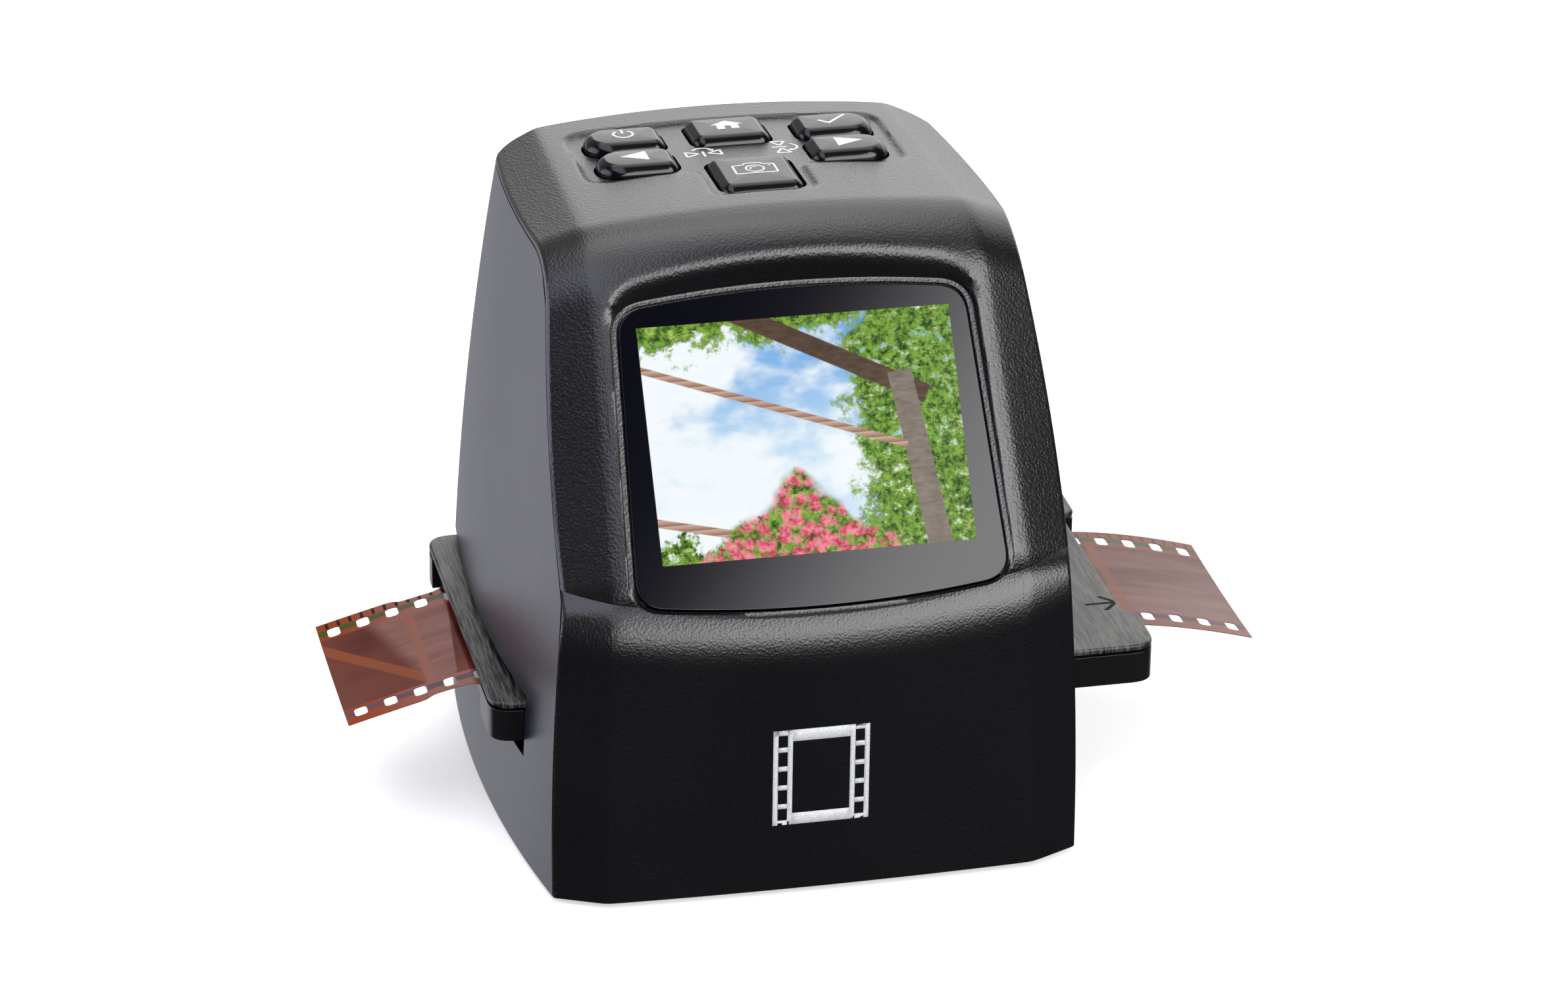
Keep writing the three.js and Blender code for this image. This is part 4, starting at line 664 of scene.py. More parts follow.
def glass_corners(grow):
    """Corners and arches of the glass, with each corner's reach"""
    upper, lower = GLASS_TOP + grow, -GLASS_LOW - grow

    def arch(half, edge, rise, way):
        return [(way * share * half, edge + rise * (1 - share ** 2), 0)
                for share in np.linspace(-ARCH_REACH, ARCH_REACH, ARCH_POINTS)]

    low = arch(GLASS_LOW_HALF, lower, -GLASS_LOW_ARCH, 1)
    high = arch(GLASS_TOP_HALF, upper, GLASS_TOP_ARCH, -1)
    return [(-GLASS_LOW_HALF - grow, lower, GLASS_ROUND), *low,
            (GLASS_LOW_HALF + grow, lower, GLASS_ROUND),
            (GLASS_TOP_HALF + grow, upper, GLASS_ROUND), *high,
            (-GLASS_TOP_HALF - grow, upper, GLASS_ROUND)]


GLASS_OUTLINE = softened(glass_corners(0), GLASS_STEPS)


def spread(points, count):
    """The line's points at equal steps, without its last one"""
    run = np.concatenate([[0], np.cumsum(np.linalg.norm(np.diff(points, axis=0), axis=1))])
    wanted = np.linspace(0, run[-1], count + 1)[:-1]
    return np.stack([np.interp(wanted, run, points[:, axis]) for axis in (0, 1)], -1)


def glass_points(counts):
    """Points round the glass, side by side: lower, right, upper, left"""
    corner, middle = GLASS_STEPS + 1, GLASS_STEPS // 2
    upright = corner + ARCH_POINTS
    sides = (0, upright, upright + corner, 2 * upright + corner, len(GLASS_OUTLINE))
    marks = [middle + past for past in sides]
    ring = np.concatenate([GLASS_OUTLINE, GLASS_OUTLINE])
    points = np.concatenate([spread(ring[a:b + 1], count) for a, b, count in zip(marks, marks[1:], counts)])
    along = np.roll(points, -2, axis=0) - np.roll(points, 2, axis=0)
    out = np.stack([along[:, 1], -along[:, 0]], -1)
    return points, out / np.linalg.norm(out, axis=1, keepdims=True)


def front_columns():
    """Each column of the skin, as a function from the run to a point"""
    table = np.linspace(BELOW_SIDE, profile.total, SIDE_SAMPLES)
    side_table = side_x(table)

    def chamfer(share, sign):
        def at(run):
            x = mix(profile.half(run), np.interp(run, table, side_table), share)
            return skin_point(sign * x, run)
        return at

    def edge(step, sign):
        def at(run):
            side = np.interp(run, table, side_table)
            depth = CHAMFER_SLOPE * (side - profile.half(run))
            room = np.minimum(EDGE_ROUND, (SEAM_FRONT - depth) * EDGE_ROOM)
            if step == 0:
                return skin_point(sign * (side - EDGE_ROUND), run)
            drop = depth + (EDGE_DROP, room)[step - 1]
            point = profile.at_depth(run, drop)
            x = side_half(point[..., 0], point[..., 1]) - (EDGE_SET_IN, 0)[step - 1]
            return np.stack([sign * x, point[..., 0], point[..., 1]], -1)
        return at

    def parting(sign):
        def at(run):
            point = seam_line(run, SEAM_FRONT)
            x = side_half(point[..., 0], point[..., 1])
            return np.stack([sign * x, point[..., 0], point[..., 1]], -1)
        return at

    def face(share):
        return lambda run: skin_point(share * profile.half(run), run)

    left = [parting(-1), *[edge(step, -1) for step in (2, 1, 0)],
            *[chamfer(share, -1) for share in reversed(CHAMFER_SHARES)]]
    right = [*[chamfer(share, 1) for share in CHAMFER_SHARES],
             *[edge(step, 1) for step in (0, 1, 2)], parting(1)]
    inner = np.linspace(-FACE_HOLE_SHARE, FACE_HOLE_SHARE, FACE_COLUMNS)
    middle = [face(share) for share in (-1, -FACE_EDGE_SHARE, *inner, FACE_EDGE_SHARE, 1)]
    first = len(left) + 2
    return left + middle + right, first, first + FACE_COLUMNS - 1


def front_rows():
    """Shares of the whole run, with the rows that the window's patch starts and ends at"""
    whole = profile.run_at_setback(DEPTH + REAR_SWELL)
    hole_end = profile.run_at_setback(HOLE_SETBACK)
    runs = np.concatenate([
        FOOT_RUNS, np.linspace(FACE_START, HOLE_RUN, FACE_ROWS + 1)[:-1],
        np.linspace(HOLE_RUN, hole_end, HOLE_ROWS + 1)[:-1],
        np.linspace(hole_end, whole, TOP_ROWS),
    ])
    first = len(FOOT_RUNS) + FACE_ROWS
    return runs / whole, first, first + HOLE_ROWS


def inner_point(points, run):
    """The skin's underside: a wall's thickness further in, and no deeper than the seam"""
    flat = points[..., 1:] - FAN_LINE
    far = np.linalg.norm(flat, axis=-1, keepdims=True)
    seam = seam_line(run, SEAM_FRONT) - FAN_LINE
    held = np.maximum(far - SKIN, np.linalg.norm(seam, axis=-1, keepdims=True))
    place = FAN_LINE + flat / far * np.minimum(held, far)
    x = np.minimum(np.abs(points[..., 0]), side_half(place[..., 0], place[..., 1]) - SKIN)
    height = np.maximum(place[..., 1], 0)
    setback = np.minimum(place[..., 0], rear_limit(x, height, SKIN))
    return np.stack([np.sign(points[..., 0]) * x, setback, height], -1)


def cover_grid(columns, shares, table):
    """Points of the outer skin from the foot to the back wall, and their runs"""
    grid, runs = [], []
    for column in columns:
        points = column(table)
        start = np.interp(0, points[:FOOT_SAMPLES, 2], table[:FOOT_SAMPLES])
        behind = points[:, 1] - rear_limit(points[:, 0], points[:, 2])
        last = np.nonzero(behind < 0)[0][-1]
        end = np.interp(0, behind[last:last + 2], table[last:last + 2])
        runs.append(start + (end - start) * shares)
        grid.append(column(runs[-1]))
    return np.stack(grid, 1), np.stack(runs, 1)


def add_back_wall(sheet, outer, inner, table):
    """Wall behind the top, from its rear edge down to the seam"""
    seam = seam_line(table, SEAM_FRONT)[table > profile.brow_run]
    ends = []
    for index in (outer, inner):
        low_edge = np.array([sheet.points[i] for i in index])
        low_edge[:, 2] = np.minimum(low_edge[:, 2], np.interp(low_edge[:, 1], *seam.T))
        ends.append(sheet.add(low_edge))
    sheet.quads(np.stack([outer, ends[0], ends[1], inner]))


def recess_loops(border, counts):
    """Rings from the glass's ledge up its rim to the skin's border, and those of the underside"""
    across, up, _ = window_from(border)
    goal = np.stack([across, up], -1)
    glass, out = glass_points(counts)
    length = np.linalg.norm(goal - glass, axis=1)
    top = np.clip(out[:, 1], 0, 1) ** 2
    bottom = np.clip(-out[:, 1], 0, 1) ** 2
    slope = RIM_SIDE * out[:, 0] ** 2 + RIM_TOP * top + RIM_LOW * bottom
    softness = RIM_SOFT_SIDE + RIM_SOFT_TOP * top + RIM_SOFT_LOW * bottom
    loops = [window_to(*(glass + out * grow).T, np.full(len(glass), float(lift)))
             for grow, lift in POCKET_RINGS]
    under = [window_to(*(glass - out * POCKET_SET_IN).T, np.full(len(glass), -POCKET - LEDGE))]
    rim = RIM_STEPS[-1]
    distances = [np.full(len(glass), step) for step in RIM_STEPS]
    distances += [mix(rim, length, share) for share in np.linspace(0, 1, PATCH_STEPS)[1:-1]]
    for distance in distances:
        pull = ramp((distance - rim) / (length - rim))[:, None]
        straight = glass + (goal - glass) * (distance / length)[:, None]
        x, y = mix(glass + out * distance[:, None], straight, pull).T
        far = np.maximum(outline_distance(x, y, GLASS_OUTLINE), 0)
        wall = np.maximum(far - RIM, 0) / slope
        over = skin_lift(x, y)
        loops.append(window_to(x, y, soft_least(over, wall, softness)))
        pad = ramp((far - PAD_START) / PAD_WIDTH)
        under.append(window_to(x, y, mix(np.minimum(over - SKIN, -POCKET - LEDGE), over - SKIN, pad)))
    return loops, under


def key_hole_cutter():
    holes = Sheet()
    for name in KEYS:
        loop = key_outline(name, KEY_PLAY)
        middle = top_line(KEY_HOLE_SETBACK)
        ends = (middle - KEY_HOLE_DOWN, middle + KEY_HOLE_UP)
        holes.rings([[(x, s, z) for x, s in loop] for z in ends], True, True)
    return holes.make("key_holes", flat=True)


def make_front_cover():
    columns, left, right = front_columns()
    shares, low, high = front_rows()
    table = np.linspace(BELOW_FOOT, profile.total, COVER_SAMPLES)
    grid, runs = cover_grid(columns, shares, table)
    sheet = Sheet()
    outer, inner = sheet.add(grid), sheet.add(inner_point(grid, runs))
    for index in (outer, inner):
        sheet.quads(index, lambda i, j: low <= i < high and left <= j < right)
    for edge in ((0, slice(None)), (slice(None), 0), (slice(None), -1)):
        sheet.quads(np.stack([outer[edge], inner[edge]]))
    add_back_wall(sheet, outer[-1], inner[-1], table)

    def ring_of(index):
        return np.array([*index[low, left:right], *index[low:high, right],
                         *index[high, right:left:-1], *index[high:low:-1, left]])

    ring = ring_of(outer)
    border = np.array([sheet.points[i] for i in ring])
    loops, under = recess_loops(border, (right - left, high - low, right - left, high - low))
    first = sheet.rings([*loops, ring])[0]
    last = sheet.rings([*under, ring_of(inner)])[0]
    sheet.rings([first, last])
    return crisp(cut(sheet.make("front_cover_skin"), [key_hole_cutter()]), angle=32)


def key_outline(name, grow):
    x, setback, width, depth, left, right = KEYS[name]
    loop = rounded_loop(width + 2 * grow, depth + 2 * grow, left + grow, right + grow, side_steps=1)
    return loop + np.array([x, setback])


# Rear housing: both sides, the rear corners and the back in one skin

# Mouths of the sockets: left, right, low and high
CARD_LEFT, CARD_RIGHT, CARD_LOW, CARD_HIGH = -20.6, 4.6, 77.6, 80.6
USB_LEFT, USB_RIGHT, USB_LOW, USB_HIGH = 15.25, 24.75, 77.2, 81.6
REAR_LEVELS = (0, 0.5, 4, 8, 12, 15, SLOT_LOW, 19.5, 22, 24.5, 26.5, SLOT_HIGH, 30)
BACK_LEVELS = (35, 41, 47, 53, 59, 65, 70, 74, USB_LOW, CARD_LOW, CARD_HIGH, USB_HIGH, 86)
BACK_LINES = (31, USB_RIGHT, 20, USB_LEFT, 10, CARD_RIGHT, -4, -12, CARD_LEFT, -28)
SIDE_STEPS, FRONT_STEPS, ARC_STEPS = 30, 7, 4
TOP_CORNER_HEIGHT = 91


def side_rows():
    """Setbacks and heights of each level on the side, from its front to where the corner starts"""
    table = np.linspace(BELOW_FOOT, profile.total, SEAM_SAMPLES)
    line = seam_line(table, SEAM_REAR)
    low_table, low_line = table[:RISING_SAMPLES], line[:RISING_SAMPLES]
    top_table, top_line_points = table[table > profile.brow_run], line[table > profile.brow_run]
    rows, heights = [], [*REAR_LEVELS]
    for z in REAR_LEVELS:
        front = float(np.interp(z, low_line[:, 1], low_line[:, 0]))
        rear, _ = corner_start(z)
        setbacks = [mix(front, SLOT_FRONT, step / FRONT_STEPS) for step in range(FRONT_STEPS)]
        setbacks += [mix(SLOT_FRONT, rear, step / SIDE_STEPS) for step in range(SIDE_STEPS + 1)]
        rows.append([(s, z) for s in setbacks])
    # Over the slot, each level is a blend of the four lines round the side
    band = REAR_LEVELS[-1]
    band_run = float(np.interp(band, low_line[:, 1], low_table))
    base = np.array(rows[-1])
    along = (base[:, 0] - base[0, 0]) / (base[-1, 0] - base[0, 0])
    top_rear, _ = corner_start(TOP_CORNER_HEIGHT)
    top_end = float(np.interp(top_rear, top_line_points[:, 0], top_table))
    top = seam_line(mix(profile.brow_run, top_end, along), SEAM_REAR)
    peak = float(top[-1, 1])
    for z in (*BACK_LEVELS, peak):
        v = (z - band) / (peak - band)
        left = profile.at_depth(mix(band_run, profile.brow_run, v), SEAM_REAR)
        rear, _ = corner_start(z)
        right = np.array([rear, z])
        u = along[:, None]
        flat = (1 - v) * base + v * top + (1 - u) * left + u * right
        corners = ((1 - u) * (1 - v) * base[0] + u * (1 - v) * base[-1]
                   + (1 - u) * v * top[0] + u * v * top[-1])
        rows.append([tuple(point) for point in flat - corners])
        heights.append(z)
    return rows, heights, top_line_points


def make_rear_housing():
    rows, heights, seam = side_rows()
    grid = []
    for points, z in zip(rows, heights):
        def height_at(setback):
            held = float(np.interp(setback, seam[:, 0], seam[:, 1]))
            return min(z, held) if z == heights[-1] else z

        start, centre = corner_start(z)
        half = [(side_half(s, h), s, h) for s, h in points]
        slot_turn = math.asin((SLOT_REAR - start) / REAR_ROUND)
        turns = [mix(0, slot_turn, step / ARC_STEPS) for step in range(1, ARC_STEPS + 1)]
        turns += [mix(slot_turn, math.pi / 2, step / ARC_STEPS) for step in range(1, ARC_STEPS + 1)]
        for turn in turns:
            s = start + REAR_ROUND * math.sin(turn)
            half.append((centre + REAR_ROUND * math.cos(turn), s, height_at(s)))
        back = [(x, rear_at(x), height_at(rear_at(x))) for x in BACK_LINES]
        grid.append(half + back + [(-x, s, h) for x, s, h in reversed(half)])
    grid = np.array(grid)
    count = grid.shape[1]
    first, last = FRONT_STEPS, FRONT_STEPS + SIDE_STEPS + ARC_STEPS

    def opening(i, j):
        """Cells of the film slot on both sides, and of the two sockets in the back"""
        z = (heights[i] + heights[i + 1]) / 2
        mirrored = min(j, count - 2 - j)
        if SLOT_LOW < z < SLOT_HIGH and first <= mirrored < last:
            return True
        x = (grid[i, j, 0] + grid[i, j + 1, 0]) / 2
        card = CARD_LEFT < x < CARD_RIGHT and CARD_LOW < z < CARD_HIGH
        usb = USB_LEFT < x < USB_RIGHT and USB_LOW < z < USB_HIGH
        return mirrored >= last + ARC_STEPS and (card or usb)

    sheet = Sheet()
    sheet.quads(sheet.add(grid), opening)
    return crisp(thicken(sheet.make("rear_housing_skin"), SKIN), angle=40)


# Glass of the window

GLASS_EDGE = ((0, -GLASS_THICK), (0, -0.2), (0.06, -0.06), (0.2, 0))


def make_glass():
    outline = softened(glass_corners(-GLASS_PLAY), GLASS_STEPS)
    centre = np.array([0, (GLASS_TOP - GLASS_LOW) / 2])
    loops = []
    for inset, lift in GLASS_EDGE:
        away = outline - centre
        ring = outline - away / np.linalg.norm(away, axis=1, keepdims=True) * inset
        loops.append(window_to(ring[:, 0], ring[:, 1], np.full(len(ring), lift)))
    sheet = Sheet()
    sheet.rings(loops, close_first=True, close_last=True)
    return crisp(sheet.make("window_glass"), angle=50)


# Keys

KEY_INSETS = (0, 0.03, 0.12, 0.27, 0.48, 0.75, 1.05, 1.3, 1.38, 1.44, 1.6, 2.1, 2.7, 3.4)
KEY_MIDDLE, KEY_LEAST_ROUND = 0.25, 0.25


def key_fall(inset):
    """How far a key's round slope lies below its crown"""
    radius = KEY_SLOPE_WIDTH / (math.sin(KEY_SLOPE_END) - math.sin(KEY_SLOPE_START))
    sine = math.sin(KEY_SLOPE_END) - np.clip(inset, 0, KEY_SLOPE_WIDTH) / radius
    return radius * (math.cos(KEY_SLOPE_START) - np.sqrt(1 - sine ** 2))


def key_height(name, x, setback):
    """Height of a key's crowned top"""
    _, _, width, depth, _, _ = KEYS[name]
    inset = -outline_distance(x, setback, key_outline(name, 0))
    share = np.clip(inset / (min(width, depth) / 2), 0, 1)
    return top_line(setback) + KEY_RISE - key_fall(inset) - KEY_CROWN * (1 - share) ** 2


def make_key(name):
    x, setback, width, depth, left, right = KEYS[name]
    loops = []
    for inset in (*KEY_INSETS, min(width, depth) / 2 - KEY_MIDDLE):
        loop = rounded_loop(width - 2 * inset, depth - 2 * inset,
                            max(left - inset, KEY_LEAST_ROUND), max(right - inset, KEY_LEAST_ROUND))
        loop = loop + np.array([x, setback])
        height = key_height(name, loop[:, 0], loop[:, 1])
        if inset == 0:
            skirt = np.full(len(loop), top_line(setback) - KEY_SKIRT)
            loops.append(np.column_stack([loop, skirt]))
            height = np.full(len(loop), top_line(setback) + KEY_RISE - KEY_CROWN - key_fall(0))
        loops.append(np.column_stack([loop, height]))
    sheet = Sheet()
    sheet.rings(loops, close_first=True, close_last=True)
    return crisp(sheet.make(name + "_key_cap"), angle=60)


# Film tray

TRAY_ROUND, TRAY_STEPS, COVER_GAP = 4, 8, 0.3
MOUTH_EXTRA = 4
TRAY_SETBACK = TRAY_MIDDLE + DEPTH / 2
CHANNEL_CUT, CHANNEL_CUT_HIGH = (-60, 70), 30
GATE_CUT_LOW, GATE_CUT_MIDDLE, GATE_CUT_HIGH = 10, 24, 40


def tray_outline(set_in):
    """Plan of the tray, with a notched right end and, set in, the mouth of its left end"""
    edge = CHANNEL_HALF + NOTCH_RUN
    mouth = edge + MOUTH_SET_IN
    left_end = -TRAY_LEFT + set_in
    corners = [
        (TRAY_RIGHT, -TRAY_HALF, TRAY_ROUND), (TRAY_RIGHT, -edge, NOTCH_RUN / 2),
        (TRAY_RIGHT - NOTCH_DEPTH, -CHANNEL_HALF, NOTCH_RUN / 2),
        (TRAY_RIGHT - NOTCH_DEPTH, CHANNEL_HALF, NOTCH_RUN / 2),
        (TRAY_RIGHT, edge, NOTCH_RUN / 2), (TRAY_RIGHT, TRAY_HALF, TRAY_ROUND),
        (-TRAY_LEFT, TRAY_HALF, TRAY_ROUND),
    ]
    if set_in:
        corners += [(-TRAY_LEFT, mouth + MOUTH_EXTRA, 0), (left_end, mouth + MOUTH_EXTRA, 0),
                    (left_end, -mouth, 0), (-TRAY_LEFT, -mouth, 0)]
    corners.append((-TRAY_LEFT, -TRAY_HALF, TRAY_ROUND))
    return [(x, y + TRAY_SETBACK) for x, y in softened(corners, TRAY_STEPS)]


def tray_box(name, x, half_width, low, high):
    """Block across the tray's middle, to cut with"""
    front, rear = TRAY_SETBACK - half_width, TRAY_SETBACK + half_width
    return prism(name, [(x[0], front), (x[1], front), (x[1], rear), (x[0], rear)], low, high)


def gate_box(high):
    return tray_box("gate", (-GATE_LENGTH / 2, GATE_LENGTH / 2), GATE_WIDTH / 2, GATE_CUT_LOW, high)


def make_tray_base():
    base = prism("tray_base_shell", tray_outline(MOUTH_SET_IN), TRAY_BOTTOM, TRAY_SPLIT)
    channel = tray_box("channel", CHANNEL_CUT, CHANNEL_HALF, BED_HEIGHT, CHANNEL_CUT_HIGH)
    cut(base, [channel, gate_box(GATE_CUT_MIDDLE)])
    return crisp(bevel(base, width=0.4, segments=3, angle=35), angle=40)


def make_tray_cover():
    cover = prism("tray_cover_plate", tray_outline(0), TRAY_SPLIT + COVER_GAP, TRAY_TOP)
    bevel(cover, width=0.42, segments=4, angle=60)
    return crisp(cut(cover, [gate_box(GATE_CUT_HIGH)]), angle=40)


# Film

HOLE_ROUND, HOLE_CUT = 0.5, 0.15
IMAGE_ROWS = [8, 17.5, 27]
FILM_NOTCH, NOTCH_START, NOTCH_END, NOTCH_SLOPE = 0.9, 57, 50, 2.2
CURL, CURL_MIDDLE, CURL_START, CURL_RUN = 0.35, 5, 52, 20


def film_droop(x):
    """Height of the strip's underside, lower towards both free ends"""
    right_mouth = TRAY_RIGHT - NOTCH_DEPTH
    right = np.clip((x - right_mouth) / (FILM_RIGHT - right_mouth), 0, 1)
    left = np.clip((-x - TRAY_LEFT) / (FILM_LEFT - TRAY_LEFT), 0, 1)
    return FILM_HEIGHT - DROOP_RIGHT * right ** DROOP_RIGHT_POWER - DROOP_LEFT * left ** DROOP_LEFT_POWER


def make_film():
    """Strip with two rows of round-cornered perforations"""
    length = FILM_LEFT + FILM_RIGHT
    holes = int((length - PERFORATION_LENGTH) // PERFORATION_PITCH) + 1
    margin = (length - (holes - 1) * PERFORATION_PITCH - PERFORATION_LENGTH) / 2
    inner = (0, HOLE_CUT, HOLE_ROUND)

    def lines(start, size):
        return [start + step for step in inner] + [start + size - step for step in reversed(inner)]

    columns, hole_starts = [0], []
    for hole in range(holes):
        hole_starts.append(len(columns))
        columns += lines(margin + hole * PERFORATION_PITCH, PERFORATION_LENGTH)
        if hole < holes - 1:
            bridge = PERFORATION_PITCH - PERFORATION_LENGTH
            columns += [columns[-1] + bridge * share for share in (0.25, 0.5, 0.75)]
    columns.append(length)
    rows = [0] + lines(PERFORATION_EDGE, PERFORATION_WIDTH) + IMAGE_ROWS
    rows += lines(FILM_WIDTH - PERFORATION_EDGE - PERFORATION_WIDTH, PERFORATION_WIDTH) + [FILM_WIDTH]
    row_starts = (1, len(rows) - 7)
    columns, rows = np.array(columns), np.array(rows)
    x = (columns - FILM_LEFT)[:, None] + 0 * rows[None]
    y = (rows + TRAY_MIDDLE + DEPTH / 2 - FILM_WIDTH / 2)[None] + 0 * columns[:, None]
    # Both edges step in where the strip was notched, just outside the tray
    start, end = (ramp((x[:, 0] + place) / NOTCH_SLOPE) for place in (NOTCH_START, NOTCH_END))
    notch = FILM_NOTCH * start * (1 - end)
    y[:, 0] += notch
    y[:, -1] -= notch
    across = (rows / FILM_WIDTH - 0.5)[None]
    free = np.clip((np.abs(x - CURL_MIDDLE) - CURL_START) / CURL_RUN, 0, 1)
    curl = CURL * free * (1 - 4 * across ** 2)
    sheet = Sheet()
    index = sheet.add(np.stack([x, y, film_droop(x) + FILM_THICK - curl], -1))
    open_cells = {(i + a, j + b) for i in hole_starts for j in row_starts
                  for a in range(5) for b in range(5) if min(a, 4 - a) + min(b, 4 - b) >= 1}
    sheet.quads(index, lambda i, j: (i, j) in open_cells)
    for i in hole_starts:
        for j in row_starts:
            for a, b, da, db in ((0, 0, 1, 1), (5, 0, -1, 1), (0, 5, 1, -1), (5, 5, -1, -1)):
                corner = index[i + a::da, j + b::db]
                sheet.faces.append([corner[0, 1], corner[1, 1], corner[0, 2]])
                sheet.faces.append([corner[1, 0], corner[2, 0], corner[1, 1]])
    film = thicken(sheet.make("film_negative"), FILM_THICK)
    film.data.shade_smooth()
    film.data.set_sharp_from_angle(angle=math.radians(40))
    return film


# Signs: thin raised print that follows what it lies on

PRINT_TOP, PRINT_ROOT = 0.035, -0.06
RUN_MARGIN = 20
LINE = 0.42
SIGN_BEHIND, PANEL_PATCH = 0.3, 5
PROBE = 0.01


def skin_height(x, setback):
    """Height of the top skin at a place in plan"""
    low = np.full(x.shape, profile.brow_run - RUN_MARGIN)
    high = np.full(x.shape, profile.total)
    for _ in range(HALVINGS):
        run = (low + high) / 2
        point = skin_point(x, run)
        low = np.where(point[..., 1] < setback, run, low)
        high = np.where(point[..., 1] < setback, high, run)
    return point[..., 2]


class Sign:
    """Strokes and filled shapes about a middle; lift turns flat points and a height into places"""

    def __init__(self, lift, scale=1.0):
        self.sheet, self.lift, self.scale = Sheet(), lift, scale

    def level(self, points, height):
        points = np.asarray(points, float)
        return self.lift(points[:, 0] * self.scale, points[:, 1] * self.scale, height)

    def filled(self, outline):
        outline = np.asarray(outline, float)
        centre = outline.mean(axis=0)
        dense = np.concatenate([spread(np.array([a, b]), 4)
                                for a, b in zip(outline, np.roll(outline, -1, axis=0))])
        loops = [self.level(dense, PRINT_ROOT), self.level(dense, PRINT_TOP)]
        loops += [self.level(mix(centre, dense, share), PRINT_TOP) for share in (0.66, 0.33, 0.04)]
        self.sheet.rings(loops, True, True)

    def stroke(self, path, width, closed=False):
        path = np.asarray(path, float)
        if closed:
            along = np.roll(path, -1, axis=0) - np.roll(path, 1, axis=0)
        else:
            along = np.gradient(path, axis=0)
        across = np.stack([-along[:, 1], along[:, 0]], -1)
        across *= width / 2 / np.linalg.norm(across, axis=1, keepdims=True)
        left, right = path + across, path - across
        rows = [self.level(left, PRINT_ROOT), self.level(left, PRINT_TOP),
                self.level(path, PRINT_TOP), self.level(right, PRINT_TOP), self.level(right, PRINT_ROOT)]
        index = self.sheet.add(np.stack(rows))
        ring = np.concatenate([index, index[:1]])
        if closed:
            ring = np.concatenate([ring, ring[:, :1]], axis=1)
        self.sheet.quads(ring)
        if not closed:
            self.sheet.faces += [list(index[:, 0]), list(index[::-1, -1])]

    def line(self, points, width, closed=False):
        """Straight strokes from corner to corner"""
        ends = points[1:] + points[:1] if closed else points[1:]
        for a, b in zip(np.array(points, float), np.array(ends, float)):
            self.stroke([mix(a, b, share) for share in np.linspace(0, 1, 4)], width)

    def make(self, name):
        return crisp(self.sheet.make(name, merge=0.00001), angle=40)


def turned(points, angle):
    cos, sin = math.cos(angle), math.sin(angle)
    return [(x * cos - y * sin, x * sin + y * cos) for x, y in points]


def circle(radius, start=0.0, end=360.0, steps=28, centre=(0, 0)):
    angles = np.radians(np.linspace(start, end, steps + 1))
    if end - start == 360:
        angles = angles[:-1]
    return np.stack([centre[0] + radius * np.cos(angles), centre[1] + radius * np.sin(angles)], -1)


def arrow_tip(centre, angle, size):
    tip = turned([(size, 0), (-size * 0.5, size * 0.8), (-size * 0.5, -size * 0.8)], angle)
    return [(centre[0] + x, centre[1] + y) for x, y in tip]


def draw_power(sign):
    sign.stroke(circle(1.65, 125, 415), LINE)
    sign.line([(0, 0.35), (0, 2.2)], LINE)


def draw_triangle(sign, way):
    sign.filled([(way * 2.0, 0), (-way * 1.4, 1.6), (-way * 1.4, -1.6)])


def draw_tick(sign):
    sign.line([(-1.9, 0.0), (-0.6, -1.4)], LINE)
    sign.line([(-0.75, -1.4), (2.0, 1.6)], LINE)


def draw_house(sign):
    sign.filled([(-2.6, 0.2), (2.6, 0.2), (0, 2.1)])
    sign.filled([(-1.75, 0.25), (-1.75, -1.7), (-0.5, -1.7), (-0.5, 0.25)])
    sign.filled([(0.5, 0.25), (0.5, -1.7), (1.75, -1.7), (1.75, 0.25)])
    sign.filled([(-0.55, 0.3), (-0.55, -0.35), (0.55, -0.35), (0.55, 0.3)])


def draw_camera(sign):
    body = [(-3.0, -1.9), (3.0, -1.9), (3.0, 1.5), (1.5, 1.5),
            (1.0, 2.2), (-1.0, 2.2), (-1.5, 1.5), (-3.0, 1.5)]
    sign.line(body, 0.3, closed=True)
    sign.stroke(circle(1.3, centre=(0, -0.1)), 0.28, closed=True)
    sign.stroke(circle(0.7, 60, 210, 12, (0, -0.1)), 0.22)
    sign.filled(circle(0.2, centre=(2.25, 0.85), steps=10))


def draw_turning(sign, angle):
    """Two triangles either side of a line, with a turning arrow over them"""
    def put(points):
        return turned(points, angle)

    for way in (-1, 1):
        triangle = [(way * 2.65, 0.9), (way * 2.65, -1.3), (way * 0.7, -0.2)]
        sign.line(put(triangle), 0.36, closed=True)
    sign.line(put([(0, -1.6), (0, 0.7)]), 0.38)
    sign.stroke(put(circle(1.5, 25, 155, 16, (0, 0.8))), 0.36)
    sign.filled(put(arrow_tip((1.45, 1.1), math.radians(-75), 0.6)))


def key_lift(name):
    """Places on a key's crown, a little behind its middle"""
    x0, s0 = KEYS[name][:2]

    def lift(x, y, height):
        place = (x + x0, y + s0 + SIGN_BEHIND)
        return np.stack([*place, key_height(name, *place) + height], -1)
    return lift


def panel_lift(x0, s0):
    """Places on the panel between the keys, through a curved plane fitted to the skin there"""
    steps = np.linspace(-PANEL_PATCH, PANEL_PATCH, 7)
    x, y = (axis.ravel() for axis in np.meshgrid(steps, steps))

    def terms(x, y):
        return np.stack([x ** 0, x, y, x * x, x * y, y * y], -1)

    fit = np.linalg.lstsq(terms(x, y), skin_height(x + x0, y + s0), rcond=None)[0]
    return lambda x, y, height: np.stack([x + x0, y + s0, terms(x, y) @ fit + height], -1)


